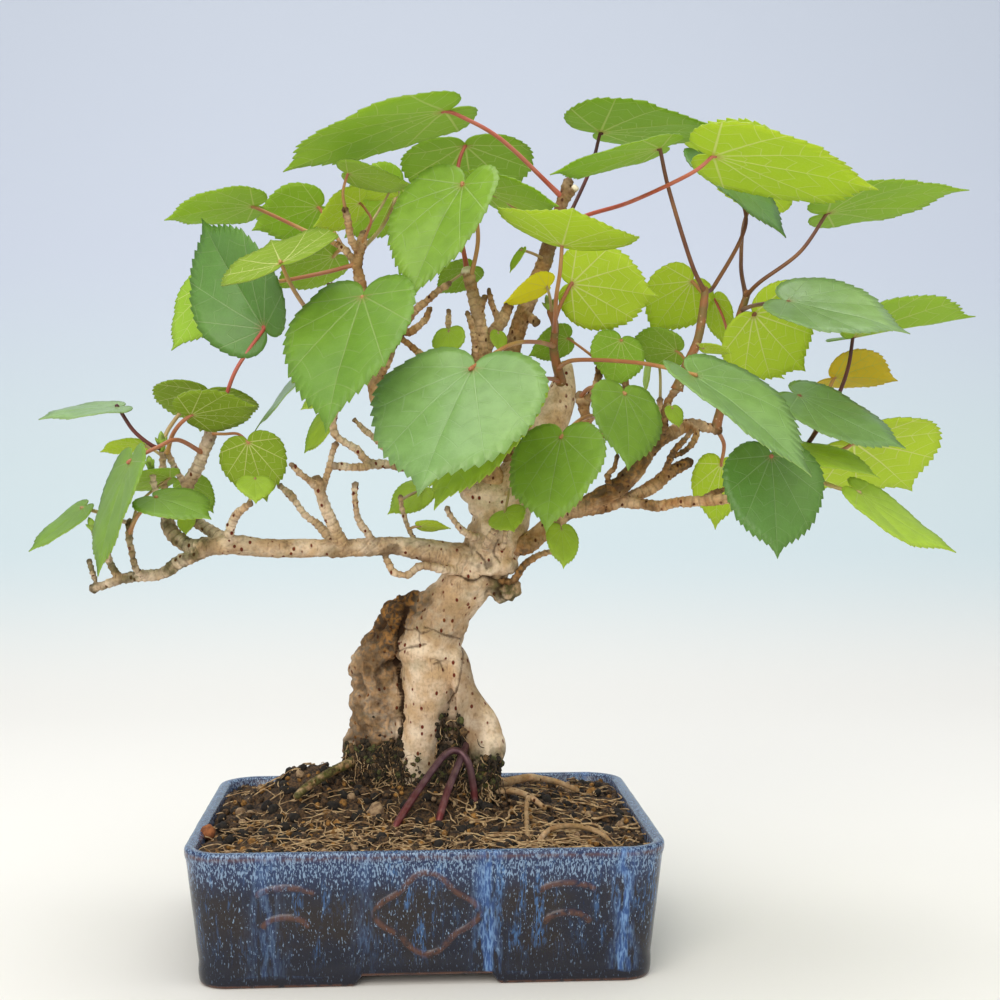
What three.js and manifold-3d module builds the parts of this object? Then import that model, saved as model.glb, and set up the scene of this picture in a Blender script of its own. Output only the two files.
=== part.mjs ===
// Sea hibiscus bonsai: a heart-leaved tree with a thick pale trunk, in a rectangular glazed pot.
// Millimetres, +Z up, +Y away from the front of the pot.
// The pot, the soil, the tree's wood, each leaf, the tie wire and the drainage meshes are separate solids.

import * as THREE from "three";
import { mergeVertices } from "three/addons/utils/BufferGeometryUtils.js";
import Module from "manifold-3d";

const wasm = await Module();
wasm.setup();

// Driving sizes of the pot
const POT_WIDTH = 216;
const POT_DEPTH = 168;
const POT_HEIGHT = 61.3;
const POT_TAPER = 7;
const POT_CORNER = 20;
const POT_WALL = 5.5;
const FOOT_HEIGHT = 4.5;
const FLOOR_TOP = 11;
const FOOT_GAP_FRONT = 56;
const FOOT_GAP_SIDE = 50;
const FOOT_LEG = 17;
const FOOT_SLANT = 5;
const DRAIN_HOLE = 14;
const DRAIN_SPACING = 100;
const RELIEF_HEIGHT = 0.9;
const RELIEF_STROKE = 2.4;

// Driving sizes of the soil, the wire and the drainage meshes
const SOIL_EDGE = 57.5;
const SOIL_MOUND = 16;
const SOIL_GRAIN = 1.1;
const WIRE_DIAMETER = 3.6;
const DRAIN_MESH = 22;
const DRAIN_MESH_THICK = 0.9;
const DRAIN_MESH_HOLE = 4.4;
const DRAIN_MESH_PITCH = 6.2;

// Driving sizes of the leaves
const BLADE_THICK = 0.7;
const STALK_BASE = 2.3;
const STALK_TIP = 1.6;
const TOOTH = 0.022;

// Touching pieces keep this clearance
const GAP = 0.3;

// The photograph is 1000 pixels square. A point of the tree is given as a pixel in it and a depth:
// how far it lies behind the pot's middle. These values are where the photograph was taken from.
const PHOTO_CENTRE = 500;
const FOCAL_PIXELS = 1500;
const EYE = new THREE.Vector3(-10.1, -737.3, 229.5);
const EYE_TURN = THREE.MathUtils.degToRad(3.68);
const EYE_DIP = THREE.MathUtils.degToRad(1.26);

// Wood, as it grew: name, the limb it grows from, the pixel on that limb where it starts,
// and its course as [pixel x, pixel y, depth, diameter].
const LIMBS = [
  ["trunk", "", [], [[411, 818, 12, 30], [412, 775, 12, 25], [420, 731, 11, 22], [427, 697, 10, 25],
    [430, 650, 10, 30], [438, 622, 9, 29], [454, 600, 8, 27], [472, 577, 6, 25], [488, 552, 4, 28],
    [501, 522, 4, 27], [513, 492, 6, 24], [533, 458, 12, 21], [551, 424, 18, 18], [562, 392, 20, 13],
    [565, 368, 22, 9]]],
  ["right_leg", "trunk", [436, 636], [[454, 660, 5, 13], [465, 690, 1, 12], [475, 716, -1, 17],
    [484, 738, -2, 19], [484, 762, -3, 17], [480, 795, -3, 15]]],
  ["corky_root", "trunk", [440, 616], [[410, 610, 13, 13], [393, 632, 17, 17], [379, 662, 20, 23],
    [376, 697, 20, 24], [375, 735, 19, 23], [368, 768, 18, 26], [362, 800, 18, 24]]],
  ["middle_root", "trunk", [430, 660], [[448, 700, 14, 12], [452, 738, 12, 13], [448, 790, 8, 13]]],
  ["moss_root", "corky_root", [372, 752], [[351, 762, 6, 5], [331, 772, -2, 4.5], [307, 787, -12, 4],
    [296, 797, -17, 3.5]]],
  ["right_root_high", "right_leg", [483, 776], [[504, 782, 4, 4.5], [528, 778, 18, 4],
    [553, 781, 26, 3], [577, 790, 26, 2.4]]],
  ["right_root_low", "right_leg", [482, 782], [[498, 790, -6, 3.6], [514, 791, -8, 3.2],
    [530, 797, -12, 2.8], [545, 808, -18, 2.2]]],
  ["loop_root", "right_root_low", [528, 797], [[526, 817, -34, 2.2], [531, 846, -62, 2.4],
    [551, 830, -54, 2.6], [575, 826, -52, 2.6], [599, 832, -57, 2.4], [617, 848, -66, 2]]],
  ["left_branch", "trunk", [484, 558], [[452, 556, -2, 12.5], [400, 546, -7, 9.5],
    [350, 548, -11, 8.8], [300, 548, -14, 8.6], [268, 548, -16, 9], [235, 545, -17, 9],
    [205, 547, -16, 8]]],
  ["low_fork", "left_branch", [210, 547], [[182, 561, -14, 6.5], [160, 574, -11, 5.6],
    [126, 578, -7, 4.8], [93, 589, -3, 4.2]]],
  ["up_fork", "left_branch", [207, 547], [[189, 546, -11, 7.2], [171, 531, -4, 7.2], [168, 514, 2, 6]]],
  ["side_fork", "left_branch", [228, 545], [[215, 534, -10, 6], [198, 523, -3, 5.6], [186, 512, 3, 5.4]]],
  ["cut_stub", "side_fork", [190, 516], [[188, 488, 2, 6], [198, 466, 0, 6], [206, 447, -2, 6.2],
    [212, 430, -3, 5.6]]],
  ["left_twig_1", "low_fork", [150, 575], [[137, 571, -17, 3.4], [130, 545, -20, 3.2],
    [130, 522, -22, 3]]],
  ["left_twig_2", "low_fork", [119, 579], [[103, 548, -9, 3.4], [95, 531, -11, 3.2]]],
  ["left_twig_3", "low_fork", [97, 588], [[90, 561, 2, 2.2]]],
  ["left_twig_4", "up_fork", [169, 518], [[164, 480, 2, 3.6], [162, 448, -1, 3.2]]],
  ["left_twig_5", "cut_stub", [188, 490], [[177, 471, -4, 3.2], [167, 452, -8, 2.8]]],
  ["left_twig_6", "up_fork", [170, 524], [[156, 492, -8, 3], [151, 468, -12, 2.8]]],
  ["low_twig_1", "left_branch", [233, 545], [[229, 532, -22, 4.4], [236, 515, -26, 3.8],
    [250, 503, -31, 2.6]]],
  ["forked_twig", "left_branch", [345, 548], [[337, 534, -17, 6], [324, 504, -22, 5.4],
    [317, 480, -24, 5]]],
  ["fork_left", "forked_twig", [320, 490], [[306, 479, -30, 3.2], [291, 465, -35, 2.7]]],
  ["fork_right", "forked_twig", [320, 492], [[328, 474, -20, 3.2], [331, 455, -18, 3],
    [335, 443, -17, 2.7]]],
  ["long_twig", "left_branch", [335, 548], [[321, 527, -5, 3.8], [304, 514, 0, 3.4],
    [291, 496, 4, 3.2], [279, 486, 6, 3]]],
  ["high_twig", "trunk", [508, 505], [[455, 482, -6, 5.4], [409, 468, -13, 4.4], [373, 463, -18, 4],
    [356, 449, -20, 3.8], [338, 438, -22, 3.6], [333, 426, -22, 3.3], [336, 406, -24, 3]]],
  ["high_stub", "high_twig", [380, 464], [[355, 467, -25, 3.4], [335, 466, -31, 3.2]]],
  ["high_spur", "high_twig", [409, 468], [[392, 455, -6, 2.8], [378, 442, -2, 2.6], [354, 420, 4, 2.3]]],
  ["upright_twig", "left_branch", [378, 547], [[362, 526, -15, 3.4], [356, 506, -18, 3.1],
    [355, 484, -20, 3.2]]],
  ["thin_upright", "left_branch", [420, 550], [[411, 533, -1, 2.7], [403, 512, 3, 2.4],
    [400, 496, 5, 2.2]]],
  ["under_twig", "trunk", [476, 570], [[446, 569, -9, 4.2], [422, 566, -12, 3.6], [407, 575, -13, 3.4],
    [393, 572, -12, 3.4], [385, 556, -9, 3]]],
  ["burl_stub_1", "trunk", [484, 558], [[486, 545, -13, 3.8], [496, 528, -19, 3]]],
  ["burl_stub_2", "trunk", [492, 545], [[503, 547, -12, 3.2], [506, 528, -16, 2.8]]],
  ["burl_stub_3", "trunk", [498, 530], [[474, 536, -9, 3.6], [454, 520, -14, 3], [447, 508, -16, 2.7]]],
  ["burl_spur", "trunk", [482, 562], [[508, 582, -4, 3.8], [527, 563, -9, 3.3], [546, 553, -12, 3],
    [555, 552, -12, 2.7]]],
  ["right_limb", "trunk", [496, 540], [[522, 545, -2, 10], [547, 528, -5, 9.6], [564, 514, -8, 9.2],
    [585, 505, -11, 9], [612, 491, -14, 9], [630, 477, -17, 8.8], [644, 458, -20, 8.4]]],
  ["second_limb", "right_limb", [578, 508], [[602, 506, -8, 7], [629, 498, -6, 6.8],
    [652, 487, -4, 6.6], [669, 473, -2, 6.4], [689, 462, 0, 6]]],
  ["third_limb", "second_limb", [622, 500], [[641, 504, -10, 5.4], [659, 506, -15, 5.2],
    [680, 502, -20, 5], [706, 501, -24, 5], [740, 498, -30, 4.4]]],
  ["third_spur", "third_limb", [697, 501], [[715, 493, -20, 2.7], [732, 486, -17, 2.2]]],
  ["upper_limb", "right_limb", [625, 481], [[645, 456, 0, 6.8], [660, 440, 5, 6.8], [677, 430, 8, 6.6],
    [694, 425, 10, 6.2], [718, 430, 14, 5]]],
  ["inner_spur_1", "second_limb", [662, 478], [[674, 452, -9, 3.1], [692, 432, -12, 2.8]]],
  ["inner_spur_2", "upper_limb", [695, 425], [[696, 438, 2, 3.2], [686, 450, -1, 3], [669, 457, -3, 2.8]]],
  ["upright_spur_1", "upper_limb", [659, 441], [[662, 420, 10, 4], [660, 400, 12, 3.6]]],
  ["upright_spur_2", "upper_limb", [664, 437], [[664, 424, -1, 4], [668, 402, -4, 3.8],
    [679, 387, -6, 3.8]]],
  ["shoot_a", "upright_spur_2", [677, 390], [[687, 364, -8, 4.4], [697, 343, -9, 4.4],
    [702, 318, -9, 4.2], [704.5, 289, -9, 3.6]]],
  ["shoot_b", "upper_limb", [716, 430], [[722, 402, 14, 4.6], [728, 366, 12, 4.4], [738, 326, 10, 4.2],
    [747, 293, 8, 3.6]]],
  ["shoot_c", "third_limb", [738, 498], [[765, 488, -32, 4], [790, 469, -33, 3.8], [804, 449, -34, 3.4]]],
  ["inner_limb", "right_limb", [560, 517], [[580, 480, 2, 6.4], [590, 450, 2, 6], [586, 420, 0, 5.4],
    [580, 395, -2, 5]]],
  ["inner_twig_1", "inner_limb", [583, 405], [[594, 390, -8, 4], [599, 371, -9, 4], [599, 354, -9, 3.6]]],
  ["inner_twig_2", "inner_limb", [590, 450], [[610, 425, 8, 4.2], [626, 396, 8, 4], [618, 366, 6, 3.6]]],
  ["inner_twig_3", "right_limb", [612, 491], [[608, 476, -22, 2.7], [614, 467, -25, 2.4],
    [617, 455, -27, 2.2]]],
  ["centre_limb", "trunk", [519, 482], [[508, 436, 8, 10], [507, 385, 10, 9.4], [513, 346, 8, 8.6],
    [527, 305, 6, 8.2], [541, 272, 6, 8], [550, 242, 6, 7.4], [560, 210, 6, 6.2], [568, 182, 6, 5.2]]],
  ["centre_stub", "centre_limb", [562, 204], [[575, 188, 1, 3.4]]],
  ["centre_knot", "centre_limb", [524, 312], [[537, 322, -2, 4]]],
  ["left_limb", "trunk", [507, 505], [[486, 460, 0, 10.5], [480, 412, -6, 9.8], [479, 370, -8, 9]]],
  ["stub_tall", "left_limb", [479, 372], [[480, 330, -10, 7.2], [475, 301, -12, 6.2],
    [467, 271, -14, 5.4]]],
  ["stub_side", "stub_tall", [478, 315], [[485, 297, -16, 3]]],
  ["stub_twig_1", "left_limb", [479, 376], [[462, 358, -17, 3], [450, 338, -23, 2.8],
    [448, 311, -27, 2.5]]],
  ["stub_twig_2", "left_limb", [479, 372], [[474, 337, -20, 2.9], [467, 313, -24, 2.5]]],
  ["stub_right", "left_limb", [479, 374], [[489, 340, -4, 6], [502, 321, -1, 5.8], [509, 306, 1, 5.4]]],
  ["stub_twig_3", "stub_right", [500, 324], [[493, 306, -5, 3], [489, 290, -7, 2.5]]],
  ["gnarled_limb", "left_limb", [484, 444], [[444, 440, 2, 9.6], [405, 426, 5, 10.6],
    [383, 400, 6, 12], [376, 373, 7, 9]]],
  ["cross_twig", "left_limb", [479, 378], [[456, 369, 0, 4], [435, 362, 2, 3.6], [418, 352, 4, 3.3],
    [401, 339, 6, 3]]],
  ["gnarl_spur", "gnarled_limb", [382, 382], [[388, 362, -1, 3.5], [395, 345, -4, 3]]],
  ["crown_twig_1", "gnarled_limb", [381, 376], [[393, 343, 13, 4.8], [411, 316, 12, 4],
    [424, 304, 10, 3.6], [436, 293, 8, 3.4], [449, 283, 6, 3]]],
  ["crown_twig_2", "crown_twig_1", [400, 331], [[410, 332, 5, 3.6], [424, 321, 2, 3.4],
    [430, 309, 0, 3.1]]],
  ["crown_limb", "gnarled_limb", [381, 378], [[373, 336, 20, 6.6], [363, 295, 23, 6],
    [358, 263, 24, 5.2], [364, 233, 24, 4.4]]],
  ["crown_side_1", "crown_limb", [364, 298], [[346, 289, 18, 4], [329, 285, 14, 3.4]]],
  ["crown_side_2", "crown_limb", [359, 268], [[348, 253, 29, 3.8], [337, 244, 32, 3.2]]],
  ["crown_side_3", "crown_limb", [369, 325], [[343, 324, 12, 3.6], [316, 316, 8, 2.8]]],
  ["crown_side_4", "crown_limb", [360, 255], [[350, 232, 14, 3.4], [345, 208, 8, 2.8]]],
  ["centre_shoot", "trunk", [562, 388], [[558, 371, 8, 5], [554, 349, 3, 4.4], [555, 326, 0, 4],
    [551, 311, -2, 4]]],
];

// Leaves: name, the limb each grows from, the pixel on it, the bends of its stalk, the stalk's end,
// the leaf tip, the turn of the upper face in degrees, half width, arch and fold.
const LEAVES = [
  ["leaf_01", "centre_limb", [563, 199], [[503, 141, -14], [462, 117, -27]],
    [445, 111, -30], [283, 172, -4], -17, 0.88, 0.02, 0],
  ["leaf_02", "stub_tall", [467, 272], [[458, 215, 4], [458, 168, 18]],
    [465, 146, 24], [475, 212, 84], -85, 0.95, 0.03, 0],
  ["leaf_03", "stub_tall", [470, 282], [[478, 240, -24], [473, 205, -38]],
    [463, 184, -42], [408, 300, -68], 50, 0.68, 0.03, 0.25],
  ["leaf_04", "crown_twig_1", [392, 345], [[384, 330, -25], [372, 307, -52]],
    [363, 297, -60], [324, 430, -111], 58, 0.66, 0.03, 0.1],
  ["leaf_05", "centre_shoot", [554, 346], [[536, 342, -22], [510, 345, -58]],
    [473, 367, -80], [418, 500, -120], 61, 0.95, 0.03, 0],
  ["leaf_06", "trunk", [563, 384], [[553, 379, 2], [530, 380, -34]],
    [507, 388, -48], [436, 515, -78], 40, 0.74, 0.03, 0],
  ["leaf_07", "inner_limb", [587, 424], [[594, 416, -22], [580, 420, -40]],
    [562, 436, -50], [545, 532, -68], 62, 0.9, 0.03, 0],
  ["leaf_08", "inner_limb", [580, 397], [[590, 388, -16], [606, 389, -30]],
    [624, 393, -36], [629, 470, -52], 55, 0.9, 0.03, 0],
  ["leaf_09", "high_twig", [336, 408], [[322, 380, -12]],
    [296, 381, -6], [256, 432, 2], 5, 0.8, 0.03, 0],
  ["leaf_10", "left_twig_4", [162, 449], [[151, 445, -4], [133, 430, -6]],
    [118, 407, -8], [39, 420, -22], 10, 0.9, 0.03, 0],
  ["leaf_11", "left_twig_5", [167, 453], [[172, 436, -16], [180, 424, -22]],
    [191, 415, -24], [258, 404, -36], -34, 0.95, 0.03, 0],
  ["leaf_12", "left_twig_4", [162, 450], [[168, 430, 12], [190, 402, 22]],
    [208, 391, 26], [200, 432, 66], -88, 1.05, 0.03, 0],
  ["leaf_13", "cut_stub", [211, 434], [[224, 434, -12], [238, 434, -18]],
    [248, 442, -20], [267, 503, -14], -75, 0.95, 0.03, 0],
  ["leaf_14", "cut_stub", [203, 453], [[178, 440, -22], [158, 447, -32]],
    [130, 461, -38], [98, 576, -50], 16, 0.85, 0.03, 0],
  ["leaf_15", "left_twig_1", [130, 541], [[137, 508, -14], [152, 491, -6]],
    [170, 478, -2], [109, 489, -12], -18, 0.95, 0.03, 0],
  ["leaf_16", "left_twig_1", [130, 532], [[138, 515, -32]],
    [155, 498, -40], [211, 520, -56], 32, 0.95, 0.03, 0],
  ["leaf_17", "cut_stub", [187, 496], [[184, 488, 14]],
    [186, 480, 20], [213, 514, 26], -43, 0.95, 0.03, 0],
  ["leaf_18", "left_twig_1", [130, 522], [[122, 521, -14], [104, 514, -6]],
    [83, 508, -4], [27, 551, -12], 16, 0.85, -0.02, 0],
  ["leaf_19", "crown_side_2", [338, 245], [[308, 232, 36], [272, 215, 30]],
    [254, 207, 24], [163, 219, 16], -22, 0.95, 0.03, 0.05],
  ["leaf_20", "crown_side_2", [343, 249], [[334, 232, 44]],
    [319, 207, 56], [252, 232, 62], -50, 0.95, 0.03, 0],
  ["leaf_21", "crown_side_4", [345, 209], [[343, 192, 0]],
    [348, 173, -8], [411, 186, -14], -20, 1.05, 0, 0],
  ["leaf_22", "crown_limb", [362, 246], [[371, 222, 13], [366, 210, 20]],
    [360, 203, 26], [312, 226, 15], -35, 0.95, 0.03, 0],
  ["leaf_23", "crown_limb", [361, 252], [[384, 224, 46]],
    [400, 186, 64], [344, 238, 66], -60, 0.95, 0.03, 0],
  ["leaf_24", "crown_side_3", [317, 316], [[306, 308, -30], [291, 285, -62]],
    [281, 263, -78], [269, 236, -28], -90, 0.92, 0.03, 0],
  ["leaf_25", "cut_stub", [212, 432], [[221, 412, -6], [236, 370, -12]],
    [264, 329, -10], [201, 217, 16], 115, 0.62, 0.03, 0.4],
  ["leaf_26", "crown_limb", [358, 264], [[318, 274, 24], [262, 283, 32]],
    [217, 277, 36], [173, 352, 28], -141, 0.85, 0.03, 0],
  ["leaf_27", "crown_side_2", [346, 252], [[340, 250, 44]],
    [334, 256, 56], [277, 290, 62], -40, 0.95, 0.03, 0],
  ["leaf_28", "crown_twig_1", [446, 285], [[460, 275, 14]],
    [472, 268, 22], [436, 296, 30], -40, 0.95, 0.03, 0],
  ["leaf_29", "centre_limb", [550, 243], [[529, 222, 0], [505, 200, -8]],
    [482, 191, -12], [559, 206, -36], -22, 0.95, 0.03, 0],
  ["leaf_30", "centre_limb", [542, 270], [[566, 222, 26], [590, 170, 34]],
    [600, 134, 36], [722, 124, -10], -19, 0.95, 0.03, 0.08],
  ["leaf_31", "shoot_a", [704.5, 291], [[691, 262, -22], [669, 190, -38]],
    [660, 149, -44], [549, 177, -60], -14, 0.65, 0.02, 0],
  ["leaf_32", "centre_limb", [553, 232], [[585, 216, 0], [630, 202, -22], [690, 174, -58]],
    [713, 156, -64], [879, 193, -84], -22, 0.95, 0.02, 0],
  ["leaf_33", "shoot_b", [746, 297], [[741, 262, 24], [748, 212, 42]],
    [782, 186, 46], [672, 130, 56], -36, 0.95, 0.03, 0],
  ["leaf_34", "shoot_a", [704.5, 293], [[716, 283, 2], [746, 222, 10], [726, 176, 8]],
    [704, 158, 2], [786, 236, -10], 16, 0.9, 0.03, 0],
  ["leaf_35", "shoot_b", [746, 296], [[760, 282, 0], [800, 252, -8]],
    [827, 213, -12], [969, 194, -30], -17, 0.85, 0.04, 0],
  ["leaf_36", "shoot_b", [742, 310], [[752, 306, -10], [770, 303, -44]],
    [787, 302, -58], [911, 334, -80], 24, 0.9, 0.02, 0.1],
  ["leaf_37", "shoot_c", [803, 450], [[816, 432, -30], [836, 400, -20], [848, 368, -16]],
    [853, 337, -14], [976, 312, -12], -12, 0.9, 0, 0.25],
  ["leaf_38", "shoot_b", [736, 332], [[743, 320, 4]],
    [754, 314, -2], [806, 372, 18], -100, 1.05, 0.03, 0],
  ["leaf_39", "shoot_b", [732, 350], [[724, 320, 26]],
    [714, 298, 32], [722, 346, 38], -37, 0.9, 0.03, 0],
  ["leaf_40", "shoot_c", [801, 455], [[816, 430, -16], [824, 402, 2]],
    [834, 378, 12], [897, 380, 18], -33, 0.95, 0.03, 0.3],
  ["leaf_41", "centre_shoot", [557, 368], [[577, 360, -14], [640, 363, -52]],
    [692, 374, -78], [813, 472, -112], 26, 0.64, 0.03, 0.2],
  ["leaf_42", "shoot_b", [724, 392], [[748, 398, -8], [776, 400, -30]],
    [798, 396, -38], [905, 451, -58], 24, 0.85, 0, 0],
  ["leaf_43", "third_limb", [738, 498], [[752, 478, -46], [760, 462, -62]],
    [771, 456, -66], [777, 561, -82], 75, 0.84, 0.03, 0],
  ["leaf_44", "shoot_c", [797, 460], [[799, 455, -42]],
    [802, 450, -45], [881, 478, -60], 18, 0.8, 0.03, 0],
  ["leaf_45", "shoot_c", [800, 456], [[818, 459, -22], [838, 452, -8]],
    [854, 443, -2], [912, 490, 44], -60, 0.95, 0.03, 0],
  ["leaf_46", "shoot_c", [786, 473], [[806, 476, -44], [838, 488, -54]],
    [858, 492, -58], [953, 555, -70], 18, 0.8, -0.02, 0],
  ["leaf_47", "upper_limb", [717, 430], [[724, 445, 22]],
    [721, 464, 26], [716, 529, 22], -48, 0.95, 0.03, 0],
  ["leaf_48", "shoot_a", [687, 365], [[684, 358, 4]],
    [677, 351, 10], [624, 345, 18], -44, 0.95, 0.03, 0],
  ["leaf_49", "centre_shoot", [555, 322], [[560, 306, -6]],
    [571, 284, -10], [660, 296, -26], -68, 0.92, 0.03, 0],
  ["leaf_50", "centre_shoot", [554, 332], [[556, 300, -24], [560, 272, -38]],
    [562, 246, -45], [572, 213, -108], -85, 0.92, 0, 0.2],
  ["leaf_51", "centre_shoot", [552, 313], [[550, 298, -14]],
    [547, 287, -20], [503, 303, -36], -35, 0.6, 0.03, 0.2],
  ["leaf_52", "shoot_a", [701, 322], [[706, 300, 8]],
    [692, 281, 18], [650, 334, 26], -64, 1.0, 0.03, 0],
  ["leaf_53", "inner_twig_1", [599, 362], [[587, 352, 4]],
    [568, 338, 14], [529, 356, 12], -46, 0.95, 0.03, 0],
  ["leaf_54", "inner_twig_1", [599, 356], [[604, 343, -12]],
    [621, 340, -16], [612, 388, -24], -70, 1.0, 0.03, 0],
];

// Small young leaves, grown onto the wood in one piece with it; rows as above
const YOUNG_LEAVES = [
  ["young_leaf_01", "left_limb", [505, 498], [[509, 490, -22]],
    [505, 512, -31], [514, 532, -46], 90, 0.95, 0.03, 0],
  ["young_leaf_02", "right_limb", [556, 520], [[559, 524, -17]],
    [561, 529, -19], [564, 569, -26], 60, 0.8, 0.03, 0],
  ["young_leaf_03", "thin_upright", [401, 500], [[412, 494, 22]],
    [424, 489, 34], [388, 515, 30], 42, 0.95, 0.03, 0],
  ["young_leaf_04", "high_twig", [334, 424], [[336, 415, -12]],
    [328, 418, -6], [305, 453, -2], 28, 0.9, 0.03, 0],
  ["young_leaf_05", "low_twig_1", [248, 504], [[253, 490, -33]],
    [255, 479, -34], [256, 503, -44], 85, 1.05, 0.03, 0],
  ["young_leaf_06", "left_twig_4", [162, 456], [[152, 449, 8]],
    [142, 445, 12], [100, 452, 14], -22, 0.9, 0.03, 0],
  ["young_leaf_07", "crown_limb", [364, 234], [[378, 212, 36]],
    [390, 191, 44], [356, 200, 52], -25, 0.9, 0.03, 0],
  ["young_leaf_08", "upright_spur_1", [660, 402], [[660, 372, 34]],
    [655, 340, 38], [645, 396, 42], 8, 0.8, 0.03, 0],
  ["young_leaf_09", "thin_upright", [409, 529], [[414, 527, -2]],
    [420, 526, -3], [451, 528, -6], -22, 0.8, 0.03, 0],
  ["young_leaf_10", "high_twig", [336, 408], [[327, 402, -27]],
    [319, 400, -29], [301, 410, -32], 30, 0.9, 0.03, 0],
  ["young_leaf_11", "side_fork", [188, 514], [[187, 514, -7]],
    [187, 516, -10], [186, 535, -14], 60, 0.9, 0.03, 0],
  ["young_leaf_12", "shoot_a", [697, 343], [[700, 346, -15]],
    [703, 348, -18], [732, 353, -22], -22, 0.8, 0.03, 0],
  ["young_leaf_13", "shoot_b", [728, 366], [[738, 368, 22]],
    [749, 370, 26], [785, 378, 30], -22, 0.8, 0.03, 0],
  ["young_leaf_14", "upright_spur_2", [668, 404], [[670, 406, -10]],
    [672, 408, -13], [679, 428, -16], 50, 0.9, 0.03, 0],
  ["young_leaf_15", "centre_limb", [546, 260], [[534, 254, -4]],
    [522, 250, -8], [510, 273, -14], 40, 0.9, 0.03, 0],
  ["young_leaf_16", "cross_twig", [427, 357], [[427, 361, -3]],
    [425, 363, -6], [403, 367, -9], -28, 0.9, 0.03, 0],
  ["young_leaf_17", "stub_twig_1", [448, 325], [[449, 328, -31]],
    [449, 331, -34], [449, 360, -38], 60, 1.1, 0.03, 0],
  ["young_leaf_18", "stub_right", [494, 333], [[497, 332, -8]],
    [498, 333, -11], [499, 352, -14], 55, 0.9, 0.03, 0],
];

// Knots, burls and corky swellings: pixel, depth, and half sizes across, front to back and up
const LUMPS = [
  [490, 564, 0, 14, 12, 8], [480, 506, 1, 6, 7, 6.5], [491, 494, 4, 15.5, 10, 7], [505, 590, 2, 8, 7, 6],
  [430, 652, 9, 16, 14, 12], [401, 640, 17, 9, 9, 9], [368, 666, 19, 9, 9, 10], [394, 698, 18, 11, 10, 13],
  [384, 730, 16, 9, 9, 9], [358, 746, 20, 9, 10, 10], [381, 768, 12, 9, 9, 9], [486, 748, -3, 10, 10, 12],
  [384, 392, 6, 6, 6, 8],
];

// Buds on the ends of twigs: limb and length
const BUDS = [["left_twig_4", 8], ["left_twig_6", 6], ["left_twig_2", 7], ["centre_shoot", 8]];

// Wire strands, as [pixel x, pixel y, depth]; both ends of each run down into the soil or behind the trunk
const WIRE_STRANDS = [
  [[391, 838, -44], [399, 820, -40], [420, 788, -26], [444, 756, -15], [458, 751, -13], [468, 762, -15],
    [473, 784, -14], [475, 803, -14], [477, 820, -14]],
  [[436, 836, -38], [440, 816, -35], [448, 790, -26], [456, 770, -18], [462, 756, -13], [467, 744, -5],
    [466, 738, 4]],
];

function seeded(seed) {
  let state = seed >>> 0;
  return () => {
    state = (state + 0x6d2b79f5) >>> 0;
    let t = Math.imul(state ^ (state >>> 15), 1 | state);
    t = (t + Math.imul(t ^ (t >>> 7), 61 | t)) ^ t;
    return ((t ^ (t >>> 14)) >>> 0) / 4294967296;
  };
}

function smooth(value) {
  const t = THREE.MathUtils.clamp(value, 0, 1);
  return t * t * (3 - 2 * t);
}

// The point at a pixel of the photograph, at a given depth behind the pot's middle
function fromPhoto(px, py, depth) {
  const across = (px - PHOTO_CENTRE) / FOCAL_PIXELS;
  const rise = (PHOTO_CENTRE - py) / FOCAL_PIXELS;
  const ahead = Math.cos(EYE_DIP) + Math.sin(EYE_DIP) * rise;
  const ray = new THREE.Vector3(
    across * Math.cos(EYE_TURN) + ahead * Math.sin(EYE_TURN),
    -across * Math.sin(EYE_TURN) + ahead * Math.cos(EYE_TURN),
    rise * Math.cos(EYE_DIP) - Math.sin(EYE_DIP),
  );
  return EYE.clone().addScaledVector(ray, (depth - EYE.y) / ray.y);
}

// The pixel where a point appears
function toPhoto(point) {
  const d = point.clone().sub(EYE);
  const x = d.x * Math.cos(EYE_TURN) - d.y * Math.sin(EYE_TURN);
  const y = d.x * Math.sin(EYE_TURN) + d.y * Math.cos(EYE_TURN);
  const away = y * Math.cos(EYE_DIP) - d.z * Math.sin(EYE_DIP);
  const up = d.z * Math.cos(EYE_DIP) + y * Math.sin(EYE_DIP);
  return [PHOTO_CENTRE + FOCAL_PIXELS * x / away, PHOTO_CENTRE - FOCAL_PIXELS * up / away];
}

function smoothCurve(points) {
  return new THREE.CatmullRomCurve3(points, false, "catmullrom", 0.5);
}

// Closed solid from triangles
function solidOf(positions, triangles) {
  return new wasm.Manifold(new wasm.Mesh({
    numProp: 3,
    vertProperties: new Float32Array(positions),
    triVerts: new Uint32Array(triangles),
  }));
}

// Solid through equal rings of points, each counterclockwise seen from the last ring's side
function loft(rings) {
  const count = rings[0].length;
  const positions = [];
  const triangles = [];
  rings.flat().forEach((p) => positions.push(p.x, p.y, p.z));
  for (let j = 0; j < rings.length - 1; j += 1) {
    for (let i = 0; i < count; i += 1) {
      const k = (i + 1) % count;
      const a = j * count + i;
      const b = j * count + k;
      triangles.push(a, b, b + count, a, b + count, a + count);
    }
  }
  [0, rings.length - 1].forEach((j, end) => {
    const middle = new THREE.Vector3();
    rings[j].forEach((p) => middle.addScaledVector(p, 1 / count));
    const index = positions.length / 3;
    positions.push(middle.x, middle.y, middle.z);
    for (let i = 0; i < count; i += 1) {
      const a = j * count + i;
      const b = j * count + (i + 1) % count;
      triangles.push(...(end ? [a, b, index] : [b, a, index]));
    }
  });
  return solidOf(positions, triangles);
}

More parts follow.
